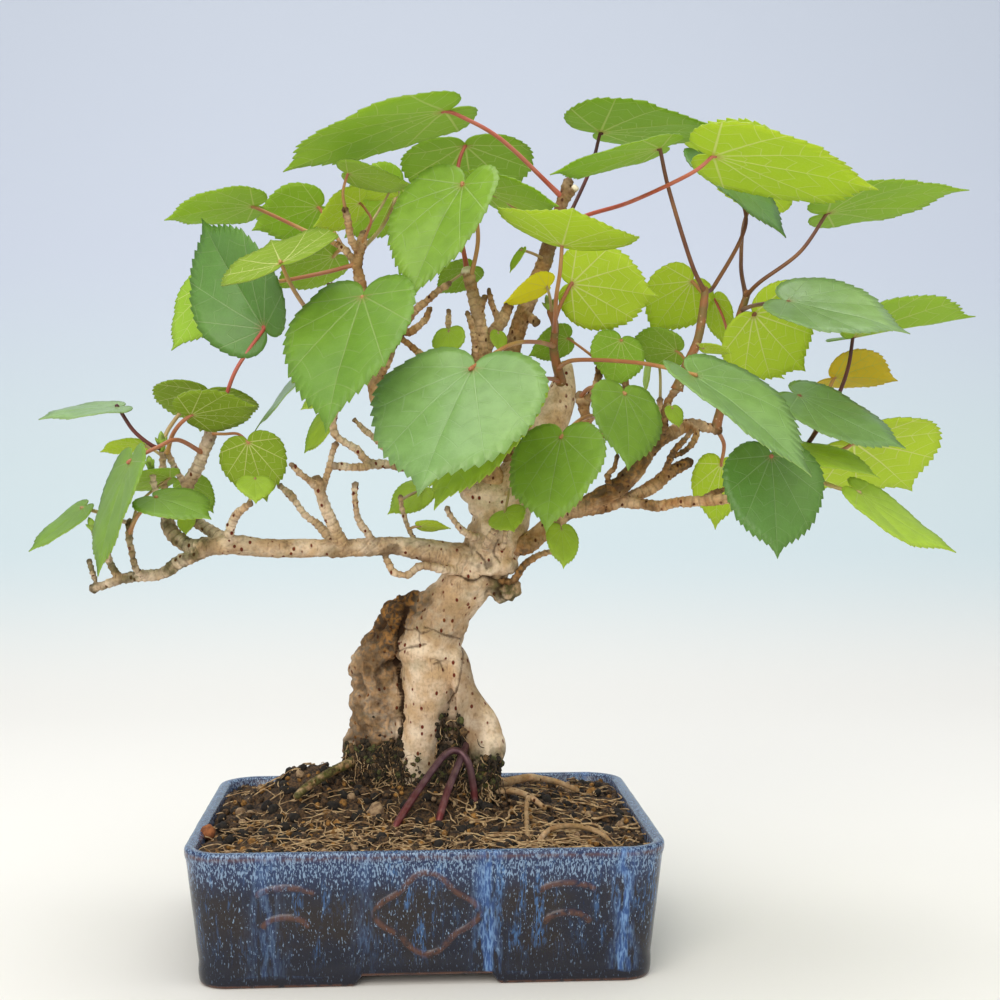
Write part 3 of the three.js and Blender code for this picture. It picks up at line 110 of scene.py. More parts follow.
# %% Limbs, leaves, knots and wire
LIMBS = [
    ["trunk", "", [], [[411, 818, 12, 30], [412, 775, 12, 25], [420, 731, 11, 22], [427, 697, 10, 25],
        [430, 650, 10, 30], [438, 622, 9, 29], [454, 600, 8, 27], [472, 577, 6, 25], [488, 552, 4, 28],
        [501, 522, 4, 27], [513, 492, 6, 24], [533, 458, 12, 21], [551, 424, 18, 18], [562, 392, 20, 13],
        [565, 368, 22, 9]]],
    ["right_leg", "trunk", [436, 636], [[454, 660, 5, 13], [465, 690, 1, 12], [475, 716, -1, 17],
        [484, 738, -2, 19], [484, 762, -3, 17], [480, 795, -3, 15]]],
    ["corky_root", "trunk", [440, 616], [[410, 610, 13, 13], [393, 632, 17, 17], [379, 662, 20, 23],
        [376, 697, 20, 24], [375, 735, 19, 23], [368, 768, 18, 26], [362, 800, 18, 24]]],
    ["middle_root", "trunk", [430, 660], [[448, 700, 14, 12], [452, 738, 12, 13], [448, 790, 8, 13]]],
    ["moss_root", "corky_root", [372, 752], [[351, 762, 6, 5], [331, 772, -2, 4.5], [307, 787, -12, 4],
        [296, 797, -17, 3.5]]],
    ["right_root_high", "right_leg", [483, 776], [[504, 782, 4, 4.5], [528, 778, 18, 4], [553, 781, 26, 3],
        [577, 790, 26, 2.4]]],
    ["right_root_low", "right_leg", [482, 782], [[498, 790, -6, 3.6], [514, 791, -8, 3.2], [530, 797, -12, 2.8],
        [545, 808, -18, 2.2]]],
    ["loop_root", "right_root_low", [528, 797], [[526, 817, -34, 2.2], [531, 846, -62, 2.4],
        [551, 830, -54, 2.6], [575, 826, -52, 2.6], [599, 832, -57, 2.4], [617, 848, -66, 2]]],
    ["left_branch", "trunk", [484, 558], [[452, 556, -2, 12.5], [400, 546, -7, 9.5], [350, 548, -11, 8.8],
        [300, 548, -14, 8.6], [268, 548, -16, 9], [235, 545, -17, 9], [205, 547, -16, 8]]],
    ["low_fork", "left_branch", [210, 547], [[182, 561, -14, 6.5], [160, 574, -11, 5.6], [126, 578, -7, 4.8],
        [93, 589, -3, 4.2]]],
    ["up_fork", "left_branch", [207, 547], [[189, 546, -11, 7.2], [171, 531, -4, 7.2], [168, 514, 2, 6]]],
    ["side_fork", "left_branch", [228, 545], [[215, 534, -10, 6], [198, 523, -3, 5.6], [186, 512, 3, 5.4]]],
    ["cut_stub", "side_fork", [190, 516], [[188, 488, 2, 6], [198, 466, 0, 6], [206, 447, -2, 6.2],
        [212, 430, -3, 5.6]]],
    ["left_twig_1", "low_fork", [150, 575], [[137, 571, -17, 3.4], [130, 545, -20, 3.2], [130, 522, -22, 3]]],
    ["left_twig_2", "low_fork", [119, 579], [[103, 548, -9, 3.4], [95, 531, -11, 3.2]]],
    ["left_twig_3", "low_fork", [97, 588], [[90, 561, 2, 2.2]]],
    ["left_twig_4", "up_fork", [169, 518], [[164, 480, 2, 3.6], [162, 448, -1, 3.2]]],
    ["left_twig_5", "cut_stub", [188, 490], [[177, 471, -4, 3.2], [167, 452, -8, 2.8]]],
    ["left_twig_6", "up_fork", [170, 524], [[156, 492, -8, 3], [151, 468, -12, 2.8]]],
    ["low_twig_1", "left_branch", [233, 545], [[229, 532, -22, 4.4], [236, 515, -26, 3.8],
        [250, 503, -31, 2.6]]],
    ["forked_twig", "left_branch", [345, 548], [[337, 534, -17, 6], [324, 504, -22, 5.4], [317, 480, -24, 5]]],
    ["fork_left", "forked_twig", [320, 490], [[306, 479, -30, 3.2], [291, 465, -35, 2.7]]],
    ["fork_right", "forked_twig", [320, 492], [[328, 474, -20, 3.2], [331, 455, -18, 3], [335, 443, -17, 2.7]]],
    ["long_twig", "left_branch", [335, 548], [[321, 527, -5, 3.8], [304, 514, 0, 3.4], [291, 496, 4, 3.2],
        [279, 486, 6, 3]]],
    ["high_twig", "trunk", [508, 505], [[455, 482, -6, 5.4], [409, 468, -13, 4.4], [373, 463, -18, 4],
        [356, 449, -20, 3.8], [338, 438, -22, 3.6], [333, 426, -22, 3.3], [336, 406, -24, 3]]],
    ["high_stub", "high_twig", [380, 464], [[355, 467, -25, 3.4], [335, 466, -31, 3.2]]],
    ["high_spur", "high_twig", [409, 468], [[392, 455, -6, 2.8], [378, 442, -2, 2.6], [354, 420, 4, 2.3]]],
    ["upright_twig", "left_branch", [378, 547], [[362, 526, -15, 3.4], [356, 506, -18, 3.1],
        [355, 484, -20, 3.2]]],
    ["thin_upright", "left_branch", [420, 550], [[411, 533, -1, 2.7], [403, 512, 3, 2.4], [400, 496, 5, 2.2]]],
    ["under_twig", "trunk", [476, 570], [[446, 569, -9, 4.2], [422, 566, -12, 3.6], [407, 575, -13, 3.4],
        [393, 572, -12, 3.4], [385, 556, -9, 3]]],
    ["burl_stub_1", "trunk", [484, 558], [[486, 545, -13, 3.8], [496, 528, -19, 3]]],
    ["burl_stub_2", "trunk", [492, 545], [[503, 547, -12, 3.2], [506, 528, -16, 2.8]]],
    ["burl_stub_3", "trunk", [498, 530], [[474, 536, -9, 3.6], [454, 520, -14, 3], [447, 508, -16, 2.7]]],
    ["burl_spur", "trunk", [482, 562], [[508, 582, -4, 3.8], [527, 563, -9, 3.3], [546, 553, -12, 3],
        [555, 552, -12, 2.7]]],
    ["right_limb", "trunk", [496, 540], [[522, 545, -2, 10], [547, 528, -5, 9.6], [564, 514, -8, 9.2],
        [585, 505, -11, 9], [612, 491, -14, 9], [630, 477, -17, 8.8], [644, 458, -20, 8.4]]],
    ["second_limb", "right_limb", [578, 508], [[602, 506, -8, 7], [629, 498, -6, 6.8], [652, 487, -4, 6.6],
        [669, 473, -2, 6.4], [689, 462, 0, 6]]],
    ["third_limb", "second_limb", [622, 500], [[641, 504, -10, 5.4], [659, 506, -15, 5.2], [680, 502, -20, 5],
        [706, 501, -24, 5], [740, 498, -30, 4.4]]],
    ["third_spur", "third_limb", [697, 501], [[715, 493, -20, 2.7], [732, 486, -17, 2.2]]],
    ["upper_limb", "right_limb", [625, 481], [[645, 456, 0, 6.8], [660, 440, 5, 6.8], [677, 430, 8, 6.6],
        [694, 425, 10, 6.2], [718, 430, 14, 5]]],
    ["inner_spur_1", "second_limb", [662, 478], [[674, 452, -9, 3.1], [692, 432, -12, 2.8]]],
    ["inner_spur_2", "upper_limb", [695, 425], [[696, 438, 2, 3.2], [686, 450, -1, 3], [669, 457, -3, 2.8]]],
    ["upright_spur_1", "upper_limb", [659, 441], [[662, 420, 10, 4], [660, 400, 12, 3.6]]],
    ["upright_spur_2", "upper_limb", [664, 437], [[664, 424, -1, 4], [668, 402, -4, 3.8], [679, 387, -6, 3.8]]],
    ["shoot_a", "upright_spur_2", [677, 390], [[687, 364, -8, 4.4], [697, 343, -9, 4.4], [702, 318, -9, 4.2],
        [704.5, 289, -9, 3.6]]],
    ["shoot_b", "upper_limb", [716, 430], [[722, 402, 14, 4.6], [728, 366, 12, 4.4], [738, 326, 10, 4.2],
        [747, 293, 8, 3.6]]],
    ["shoot_c", "third_limb", [738, 498], [[765, 488, -32, 4], [790, 469, -33, 3.8], [804, 449, -34, 3.4]]],
    ["inner_limb", "right_limb", [560, 517], [[580, 480, 2, 6.4], [590, 450, 2, 6], [586, 420, 0, 5.4],
        [580, 395, -2, 5]]],
    ["inner_twig_1", "inner_limb", [583, 405], [[594, 390, -8, 4], [599, 371, -9, 4], [599, 354, -9, 3.6]]],
    ["inner_twig_2", "inner_limb", [590, 450], [[610, 425, 8, 4.2], [626, 396, 8, 4], [618, 366, 6, 3.6]]],
    ["inner_twig_3", "right_limb", [612, 491], [[608, 476, -22, 2.7], [614, 467, -25, 2.4],
        [617, 455, -27, 2.2]]],
    ["centre_limb", "trunk", [519, 482], [[508, 436, 8, 10], [507, 385, 10, 9.4], [513, 346, 8, 8.6],
        [527, 305, 6, 8.2], [541, 272, 6, 8], [550, 242, 6, 7.4], [560, 210, 6, 6.2], [568, 182, 6, 5.2]]],
    ["centre_stub", "centre_limb", [562, 204], [[575, 188, 1, 3.4]]],
    ["centre_knot", "centre_limb", [524, 312], [[537, 322, -2, 4]]],
    ["left_limb", "trunk", [507, 505], [[486, 460, 0, 10.5], [480, 412, -6, 9.8], [479, 370, -8, 9]]],
    ["stub_tall", "left_limb", [479, 372], [[480, 330, -10, 7.2], [475, 301, -12, 6.2], [467, 271, -14, 5.4]]],
    ["stub_side", "stub_tall", [478, 315], [[485, 297, -16, 3]]],
    ["stub_twig_1", "left_limb", [479, 376], [[462, 358, -17, 3], [450, 338, -23, 2.8], [448, 311, -27, 2.5]]],
    ["stub_twig_2", "left_limb", [479, 372], [[474, 337, -20, 2.9], [467, 313, -24, 2.5]]],
    ["stub_right", "left_limb", [479, 374], [[489, 340, -4, 6], [502, 321, -1, 5.8], [509, 306, 1, 5.4]]],
    ["stub_twig_3", "stub_right", [500, 324], [[493, 306, -5, 3], [489, 290, -7, 2.5]]],
    ["gnarled_limb", "left_limb", [484, 444], [[444, 440, 2, 9.6], [405, 426, 5, 10.6], [383, 400, 6, 12],
        [376, 373, 7, 9]]],
    ["cross_twig", "left_limb", [479, 378], [[456, 369, 0, 4], [435, 362, 2, 3.6], [418, 352, 4, 3.3],
        [401, 339, 6, 3]]],
    ["gnarl_spur", "gnarled_limb", [382, 382], [[388, 362, -1, 3.5], [395, 345, -4, 3]]],
    ["crown_twig_1", "gnarled_limb", [381, 376], [[393, 343, 13, 4.8], [411, 316, 12, 4], [424, 304, 10, 3.6],
        [436, 293, 8, 3.4], [449, 283, 6, 3]]],
    ["crown_twig_2", "crown_twig_1", [400, 331], [[410, 332, 5, 3.6], [424, 321, 2, 3.4], [430, 309, 0, 3.1]]],
    ["crown_limb", "gnarled_limb", [381, 378], [[373, 336, 20, 6.6], [363, 295, 23, 6], [358, 263, 24, 5.2],
        [364, 233, 24, 4.4]]],
    ["crown_side_1", "crown_limb", [364, 298], [[346, 289, 18, 4], [329, 285, 14, 3.4]]],
    ["crown_side_2", "crown_limb", [359, 268], [[348, 253, 29, 3.8], [337, 244, 32, 3.2]]],
    ["crown_side_3", "crown_limb", [369, 325], [[343, 324, 12, 3.6], [316, 316, 8, 2.8]]],
    ["crown_side_4", "crown_limb", [360, 255], [[350, 232, 14, 3.4], [345, 208, 8, 2.8]]],
    ["centre_shoot", "trunk", [562, 388], [[558, 371, 8, 5], [554, 349, 3, 4.4], [555, 326, 0, 4],
        [551, 311, -2, 4]]],
]
LEAVES = [
    ["centre_limb", [563, 199], [[503, 141, -14], [462, 117, -27]], [445, 111, -30],
        [283, 172, -4], -17, 0.88, 0.02, 0],
    ["stub_tall", [467, 272], [[458, 215, 4], [458, 168, 18]], [465, 146, 24],
        [475, 212, 84], -85, 0.95, 0.03, 0],
    ["stub_tall", [470, 282], [[478, 240, -24], [473, 205, -38]], [463, 184, -42],
        [408, 300, -68], 50, 0.68, 0.03, 0.25],
    ["crown_twig_1", [392, 345], [[384, 330, -25], [372, 307, -52]], [363, 297, -60],
        [324, 430, -111], 58, 0.66, 0.03, 0.1],
    ["centre_shoot", [554, 346], [[536, 342, -22], [510, 345, -58]], [473, 367, -80],
        [418, 500, -120], 61, 0.95, 0.03, 0],
    ["trunk", [563, 384], [[553, 379, 2], [530, 380, -34]], [507, 388, -48],
        [436, 515, -78], 40, 0.74, 0.03, 0],
    ["inner_limb", [587, 424], [[594, 416, -22], [580, 420, -40]], [562, 436, -50],
        [545, 532, -68], 62, 0.9, 0.03, 0],
    ["inner_limb", [580, 397], [[590, 388, -16], [606, 389, -30]], [624, 393, -36],
        [629, 470, -52], 55, 0.9, 0.03, 0],
    ["high_twig", [336, 408], [[322, 380, -12]], [296, 381, -6], [256, 432, 2], 5, 0.8, 0.03, 0],
    ["left_twig_4", [162, 449], [[151, 445, -4], [133, 430, -6]], [118, 407, -8],
        [39, 420, -22], 10, 0.9, 0.03, 0],
    ["left_twig_5", [167, 453], [[172, 436, -16], [180, 424, -22]], [191, 415, -24],
        [258, 404, -36], -34, 0.95, 0.03, 0],
    ["left_twig_4", [162, 450], [[168, 430, 12], [190, 402, 22]], [208, 391, 26],
        [200, 432, 66], -88, 1.05, 0.03, 0],
    ["cut_stub", [211, 434], [[224, 434, -12], [238, 434, -18]], [248, 442, -20],
        [267, 503, -14], -75, 0.95, 0.03, 0],
    ["cut_stub", [203, 453], [[178, 440, -22], [158, 447, -32]], [130, 461, -38],
        [98, 576, -50], 16, 0.85, 0.03, 0],
    ["left_twig_1", [130, 541], [[137, 508, -14], [152, 491, -6]], [170, 478, -2],
        [109, 489, -12], -18, 0.95, 0.03, 0],
    ["left_twig_1", [130, 532], [[138, 515, -32]], [155, 498, -40], [211, 520, -56], 32, 0.95, 0.03, 0],
    ["cut_stub", [187, 496], [[184, 488, 14]], [186, 480, 20], [213, 514, 26], -43, 0.95, 0.03, 0],
    ["left_twig_1", [130, 522], [[122, 521, -14], [104, 514, -6]], [83, 508, -4],
        [27, 551, -12], 16, 0.85, -0.02, 0],
    ["crown_side_2", [338, 245], [[308, 232, 36], [272, 215, 30]], [254, 207, 24],
        [163, 219, 16], -22, 0.95, 0.03, 0.05],
    ["crown_side_2", [343, 249], [[334, 232, 44]], [319, 207, 56], [252, 232, 62], -50, 0.95, 0.03, 0],
    ["crown_side_4", [345, 209], [[343, 192, 0]], [348, 173, -8], [411, 186, -14], -20, 1.05, 0, 0],
    ["crown_limb", [362, 246], [[371, 222, 13], [366, 210, 20]], [360, 203, 26],
        [312, 226, 15], -35, 0.95, 0.03, 0],
    ["crown_limb", [361, 252], [[384, 224, 46]], [400, 186, 64], [344, 238, 66], -60, 0.95, 0.03, 0],
    ["crown_side_3", [317, 316], [[306, 308, -30], [291, 285, -62]], [281, 263, -78],
        [269, 236, -28], -90, 0.92, 0.03, 0],
    ["cut_stub", [212, 432], [[221, 412, -6], [236, 370, -12]], [264, 329, -10],
        [201, 217, 16], 115, 0.62, 0.03, 0.4],
    ["crown_limb", [358, 264], [[318, 274, 24], [262, 283, 32]], [217, 277, 36],
        [173, 352, 28], -141, 0.85, 0.03, 0],
    ["crown_side_2", [346, 252], [[340, 250, 44]], [334, 256, 56], [277, 290, 62], -40, 0.95, 0.03, 0],
    ["crown_twig_1", [446, 285], [[460, 275, 14]], [472, 268, 22], [436, 296, 30], -40, 0.95, 0.03, 0],
    ["centre_limb", [550, 243], [[529, 222, 0], [505, 200, -8]], [482, 191, -12],
        [559, 206, -36], -22, 0.95, 0.03, 0],
    ["centre_limb", [542, 270], [[566, 222, 26], [590, 170, 34]], [600, 134, 36],
        [722, 124, -10], -19, 0.95, 0.03, 0.08],
    ["shoot_a", [704.5, 291], [[691, 262, -22], [669, 190, -38]], [660, 149, -44],
        [549, 177, -60], -14, 0.65, 0.02, 0],
    ["centre_limb", [553, 232], [[585, 216, 0], [630, 202, -22], [690, 174, -58]], [713, 156, -64],
        [879, 193, -84], -22, 0.95, 0.02, 0],
    ["shoot_b", [746, 297], [[741, 262, 24], [748, 212, 42]], [782, 186, 46],
        [672, 130, 56], -36, 0.95, 0.03, 0],
    ["shoot_a", [704.5, 293], [[716, 283, 2], [746, 222, 10], [726, 176, 8]], [704, 158, 2],
        [786, 236, -10], 16, 0.9, 0.03, 0],
    ["shoot_b", [746, 296], [[760, 282, 0], [800, 252, -8]], [827, 213, -12],
        [969, 194, -30], -17, 0.85, 0.04, 0],
    ["shoot_b", [742, 310], [[752, 306, -10], [770, 303, -44]], [787, 302, -58],
        [911, 334, -80], 24, 0.9, 0.02, 0.1],
    ["shoot_c", [803, 450], [[816, 432, -30], [836, 400, -20], [848, 368, -16]], [853, 337, -14],
        [976, 312, -12], -12, 0.9, 0, 0.25],
    ["shoot_b", [736, 332], [[743, 320, 4]], [754, 314, -2], [806, 372, 18], -100, 1.05, 0.03, 0],
    ["shoot_b", [732, 350], [[724, 320, 26]], [714, 298, 32], [722, 346, 38], -37, 0.9, 0.03, 0],
    ["shoot_c", [801, 455], [[816, 430, -16], [824, 402, 2]], [834, 378, 12],
        [897, 380, 18], -33, 0.95, 0.03, 0.3],
    ["centre_shoot", [557, 368], [[577, 360, -14], [640, 363, -52]], [692, 374, -78],
        [813, 472, -112], 26, 0.64, 0.03, 0.2],
    ["shoot_b", [724, 392], [[748, 398, -8], [776, 400, -30]], [798, 396, -38],
        [905, 451, -58], 24, 0.85, 0, 0],
    ["third_limb", [738, 498], [[752, 478, -46], [760, 462, -62]], [771, 456, -66],
        [777, 561, -82], 75, 0.84, 0.03, 0],
    ["shoot_c", [797, 460], [[799, 455, -42]], [802, 450, -45], [881, 478, -60], 18, 0.8, 0.03, 0],
    ["shoot_c", [800, 456], [[818, 459, -22], [838, 452, -8]], [854, 443, -2],
        [912, 490, 44], -60, 0.95, 0.03, 0],
    ["shoot_c", [786, 473], [[806, 476, -44], [838, 488, -54]], [858, 492, -58],
        [953, 555, -70], 18, 0.8, -0.02, 0],
    ["upper_limb", [717, 430], [[724, 445, 22]], [721, 464, 26], [716, 529, 22], -48, 0.95, 0.03, 0],
    ["shoot_a", [687, 365], [[684, 358, 4]], [677, 351, 10], [624, 345, 18], -44, 0.95, 0.03, 0],
    ["centre_shoot", [555, 322], [[560, 306, -6]], [571, 284, -10], [660, 296, -26], -68, 0.92, 0.03, 0],
    ["centre_shoot", [554, 332], [[556, 300, -24], [560, 272, -38]], [562, 246, -45],
        [572, 213, -108], -85, 0.92, 0, 0.2],
    ["centre_shoot", [552, 313], [[550, 298, -14]], [547, 287, -20], [503, 303, -36], -35, 0.6, 0.03, 0.2],
    ["shoot_a", [701, 322], [[706, 300, 8]], [692, 281, 18], [650, 334, 26], -64, 1.0, 0.03, 0],
    ["inner_twig_1", [599, 362], [[587, 352, 4]], [568, 338, 14], [529, 356, 12], -46, 0.95, 0.03, 0],
    ["inner_twig_1", [599, 356], [[604, 343, -12]], [621, 340, -16], [612, 388, -24], -70, 1.0, 0.03, 0],
]
YOUNG_LEAVES = [
    ["left_limb", [505, 498], [[509, 490, -22]], [505, 512, -31], [514, 532, -46], 90, 0.95, 0.03, 0],
    ["right_limb", [556, 520], [[559, 524, -17]], [561, 529, -19], [564, 569, -26], 60, 0.8, 0.03, 0],
    ["thin_upright", [401, 500], [[412, 494, 22]], [424, 489, 34], [388, 515, 30], 42, 0.95, 0.03, 0],
    ["high_twig", [334, 424], [[336, 415, -12]], [328, 418, -6], [305, 453, -2], 28, 0.9, 0.03, 0],
    ["low_twig_1", [248, 504], [[253, 490, -33]], [255, 479, -34], [256, 503, -44], 85, 1.05, 0.03, 0],
    ["left_twig_4", [162, 456], [[152, 449, 8]], [142, 445, 12], [100, 452, 14], -22, 0.9, 0.03, 0],
    ["crown_limb", [364, 234], [[378, 212, 36]], [390, 191, 44], [356, 200, 52], -25, 0.9, 0.03, 0],
    ["upright_spur_1", [660, 402], [[660, 372, 34]], [655, 340, 38], [645, 396, 42], 8, 0.8, 0.03, 0],
    ["thin_upright", [409, 529], [[414, 527, -2]], [420, 526, -3], [451, 528, -6], -22, 0.8, 0.03, 0],
    ["high_twig", [336, 408], [[327, 402, -27]], [319, 400, -29], [301, 410, -32], 30, 0.9, 0.03, 0],
    ["side_fork", [188, 514], [[187, 514, -7]], [187, 516, -10], [186, 535, -14], 60, 0.9, 0.03, 0],
    ["shoot_a", [697, 343], [[700, 346, -15]], [703, 348, -18], [732, 353, -22], -22, 0.8, 0.03, 0],
    ["shoot_b", [728, 366], [[738, 368, 22]], [749, 370, 26], [785, 378, 30], -22, 0.8, 0.03, 0],
    ["upright_spur_2", [668, 404], [[670, 406, -10]], [672, 408, -13], [679, 428, -16], 50, 0.9, 0.03, 0],
    ["centre_limb", [546, 260], [[534, 254, -4]], [522, 250, -8], [510, 273, -14], 40, 0.35, 0.03, 0],
    ["cross_twig", [427, 357], [[427, 361, -3]], [425, 363, -6], [403, 367, -9], -28, 0.9, 0.03, 0],
    ["stub_twig_1", [448, 325], [[449, 328, -31]], [449, 331, -34], [449, 360, -38], 60, 1.1, 0.03, 0],
    ["stub_right", [494, 333], [[497, 332, -8]], [498, 333, -11], [499, 352, -14], 55, 0.9, 0.03, 0],
]
LUMPS = [
    [490, 564, 0, 14, 12, 8], [480, 506, 1, 6, 7, 6.5], [491, 494, 4, 15.5, 10, 7], [505, 590, 2, 8, 7, 6],
    [430, 652, 9, 16, 14, 12], [401, 640, 17, 9, 9, 9], [368, 666, 19, 9, 9, 10], [394, 698, 18, 11, 10, 13],
    [384, 730, 16, 9, 9, 9], [358, 746, 20, 9, 10, 10], [381, 768, 12, 9, 9, 9], [486, 748, -3, 10, 10, 12],
    [384, 392, 6, 6, 6, 8],
]
BUDS = [["left_twig_4", 8], ["left_twig_6", 6], ["left_twig_2", 7], ["centre_shoot", 8]]
WIRE_STRANDS = [
    [[391, 838, -44], [399, 820, -40], [420, 788, -26], [444, 756, -15], [458, 751, -13], [468, 762, -15],
        [473, 784, -14], [475, 803, -14], [477, 820, -14]],
    [[436, 836, -38], [440, 816, -35], [448, 790, -26], [456, 770, -18], [462, 756, -13], [467, 744, -5],
        [466, 738, 4]],
]
print("limbs:", len(LIMBS), "leaves:", len(LEAVES), "young leaves:", len(YOUNG_LEAVES))

# %% [markdown]
# ## Curves, noise and meshes
# A few helpers serve every piece: a smooth curve through points, a noise that is the same on each run,
# a tube along a curve, and the step that puts arrays into a mesh.

# %% Smooth curves and noise
def smooth(value):
    """Goes from 0 to 1 with level ends: three times the square less twice the cube."""
    t = np.clip(value, 0, 1)
    return t * t * (3 - 2 * t)


def bell(distance, width, power=2):
    """1 at no distance and near 0 past the width: e to the minus distance over width, to a power."""
    return np.exp(-((distance / width) ** power))


def course(points, count):
    """Even steps along a curve through the points, each span leaving a point along its neighbours' chord."""
    points = np.asarray(points, float)
    padded = np.vstack([2 * points[0] - points[1], points, 2 * points[-1] - points[-2]])
    t = np.linspace(0, len(points) - 1, count)
    span = np.minimum(t.astype(int), len(points) - 2)
    w = (t - span)[:, None]
    a, b, c, d = (padded[span + k] for k in range(4))
    return 0.5 * (2 * b + (c - a) * w + (2 * a - 5 * b + 4 * c - d) * w**2 + (3 * b - a - 3 * c + d) * w**3)


def lattice(ix, iy, iz, seed):
    """A number from 0 to 1 for each whole-number corner, mixed from its three counts and the seed."""
    mixed = (ix * 374761393 + iy * 668265263 + iz * 1442695041 + seed * 974634777) & 0xFFFFFFFF
    mixed = ((mixed ^ (mixed >> 13)) * 1274126177) & 0xFFFFFFFF
    return ((mixed ^ (mixed >> 16)) & 0xFFFFFF) / 0xFFFFFF


def noise(points, cell, seed=0, octaves=1):
    """Smooth noise from -1 to 1: corner numbers of a grid of cells, blended; each octave halves both."""
    total, share = np.zeros(len(points)), 1.0
    for octave in range(octaves):
        spot = points * 2**octave / cell + 57.3 * octave
        corner = np.floor(spot).astype(np.int64)
        part = smooth(spot - corner)
        for k in range(8):
            step = np.array([k & 1, k >> 1 & 1, k >> 2 & 1])
            weight = np.prod(np.where(step, part, 1 - part), axis=1)
            total += share * weight * (2 * lattice(*(corner + step).T, seed + octave) - 1)
        share /= 2
    return total


def noise_vectors(points, cell, seed):
    """Three noises side by side, as a shift for each point."""
    return np.stack([noise(points, cell, seed + axis) for axis in range(3)], 1)


def unit(vectors):
    """Vectors of length 1: one vector, or one in each row."""
    return vectors / np.linalg.norm(vectors, axis=-1, keepdims=True)


# %% Tubes, grids and meshes
def grid_faces(rows, columns):
    """Four-sided faces between neighbours of a grid of points that is closed round its rows."""
    i, j = np.meshgrid(np.arange(rows - 1), np.arange(columns), indexing="ij")
    a, b = i * columns + j, i * columns + (j + 1) % columns
    return np.stack([a, b, b + columns, a + columns], -1).reshape(-1, 4)


def fan(first, count, hub, outward=True):
    """Triangles from a ring of points, counted from the first, to one hub point."""
    here = first + np.arange(count)
    pair = [here, np.roll(here, -1)] if outward else [np.roll(here, -1), here]
    return np.stack([*pair, np.full(count, hub)], 1)


def tube(line, radii, sides):
    """Rings round a line, a rounded tip past its end, and a point that closes each end."""
    along = unit(np.gradient(line, axis=0))
    line = np.vstack([line, line[-1] + along[-1] * radii[-1] * 0.5, line[-1] + along[-1] * radii[-1] * 0.8])
    radii = np.concatenate([radii, radii[-1] * np.array([0.8, 0.4])])
    along = np.vstack([along, along[-1:], along[-1:]])
    least = np.zeros(3)
    least[np.argmin(np.abs(along).max(axis=0))] = 1
    normal = unit(least - along * (along @ least)[:, None])
    side = np.cross(along, normal)
    turn = np.linspace(0, 2 * np.pi, sides, endpoint=False)[None, :, None]
    rings = line[:, None] + radii[:, None, None] * (normal[:, None] * np.cos(turn) + side[:, None] * np.sin(turn))
    count = len(line) * sides
    points = np.vstack([rings.reshape(-1, 3), line[:1], line[-1:] + along[-1:] * radii[-1] * 0.2])
    caps = np.vstack([fan(0, sides, count, False), fan(count - sides, sides, count + 1)])
    return points, [grid_faces(len(line), sides), caps]


def make_mesh(name, parts):
    """One mesh from parts of (points in millimetres, list of face arrays, material number, uv or None)."""
    points = np.vstack([part[0] for part in parts]) / 1000 + POT_MIDDLE
    corners, sizes, slots, uvs, offset = [], [], [], [], 0
    for part_points, faces, slot, uv in parts:
        for block in faces:
            corners.append((block + offset).ravel())
            sizes.append(np.full(len(block), block.shape[1]))
            slots.append(np.full(len(block), slot))
            uvs.append((np.zeros((block.size, 2)) if uv is None else uv[block.ravel()]))
        offset += len(part_points)
    corners, sizes, slots = (np.concatenate(rows) for rows in (corners, sizes, slots))
    mesh = bpy.data.meshes.new(name)
    mesh.vertices.add(len(points))
    mesh.vertices.foreach_set("co", points.ravel())
    mesh.loops.add(len(corners))
    mesh.loops.foreach_set("vertex_index", corners.astype(np.int32))
    mesh.polygons.add(len(sizes))
    mesh.polygons.foreach_set("loop_start", np.concatenate([[0], np.cumsum(sizes)[:-1]]).astype(np.int32))
    mesh.polygons.foreach_set("material_index", slots.astype(np.int32))
    mesh.polygons.foreach_set("use_smooth", np.ones(len(sizes), bool))
    if any(part[3] is not None for part in parts):
        layer = mesh.uv_layers.new(name="leaf_plane")
        layer.data.foreach_set("uv", np.vstack(uvs).ravel())
    mesh.update(calc_edges=True)
    mesh.validate()
    return mesh


def read_rows(rows, field="co"):
    """A vector of every vertex or face of a mesh."""
    values = np.empty(len(rows) * 3)
    rows.foreach_get(field, values)
    return values.reshape(-1, 3)


def points_of(mesh):
    """Points in millimetres from the middle of the pot's foot."""
    return (read_rows(mesh.vertices) - POT_MIDDLE) * 1000


def set_points(mesh, points):
    """Write points in millimetres back to a mesh in metres."""
    mesh.vertices.foreach_set("co", (points / 1000 + POT_MIDDLE).ravel())
    mesh.update()


def normals_of(mesh):
    """Outward direction at each point."""
    return read_rows(mesh.vertex_normals, "vector")


def set_shares(mesh, **shares):
    """Store numbers from 0 to 1 on a mesh's points, for its material to read by name."""
    for name, values in shares.items():
        layer = mesh.attributes.new(name, "FLOAT", "POINT")
        layer.data.foreach_set("value", np.clip(values, 0, 1).astype(np.float32))


def link_object(name, data):
    """A new object in the scene."""
    thing = bpy.data.objects.new(name, data)
    bpy.context.scene.collection.objects.link(thing)
    return thing


def modified(mesh, *modifiers):
    """A copy of the mesh with modifiers applied, each given as its kind and settings."""
    holder = link_object("holder", mesh)
    for kind, settings in modifiers:
        modifier = holder.modifiers.new(kind, kind)
        for key, value in settings.items():
            setattr(modifier, key, value)
    result = bpy.data.meshes.new_from_object(holder.evaluated_get(bpy.context.evaluated_depsgraph_get()))
    bpy.data.objects.remove(holder)
    return result


def remeshed(name, parts, voxel_mm):
    """The parts' union as an even skin, as (points in millimetres, mesh)."""
    mesh = modified(make_mesh(name, parts),
                    ("REMESH", {"mode": "VOXEL", "voxel_size": voxel_mm / 1000, "use_smooth_shade": True}))
    return points_of(mesh), mesh


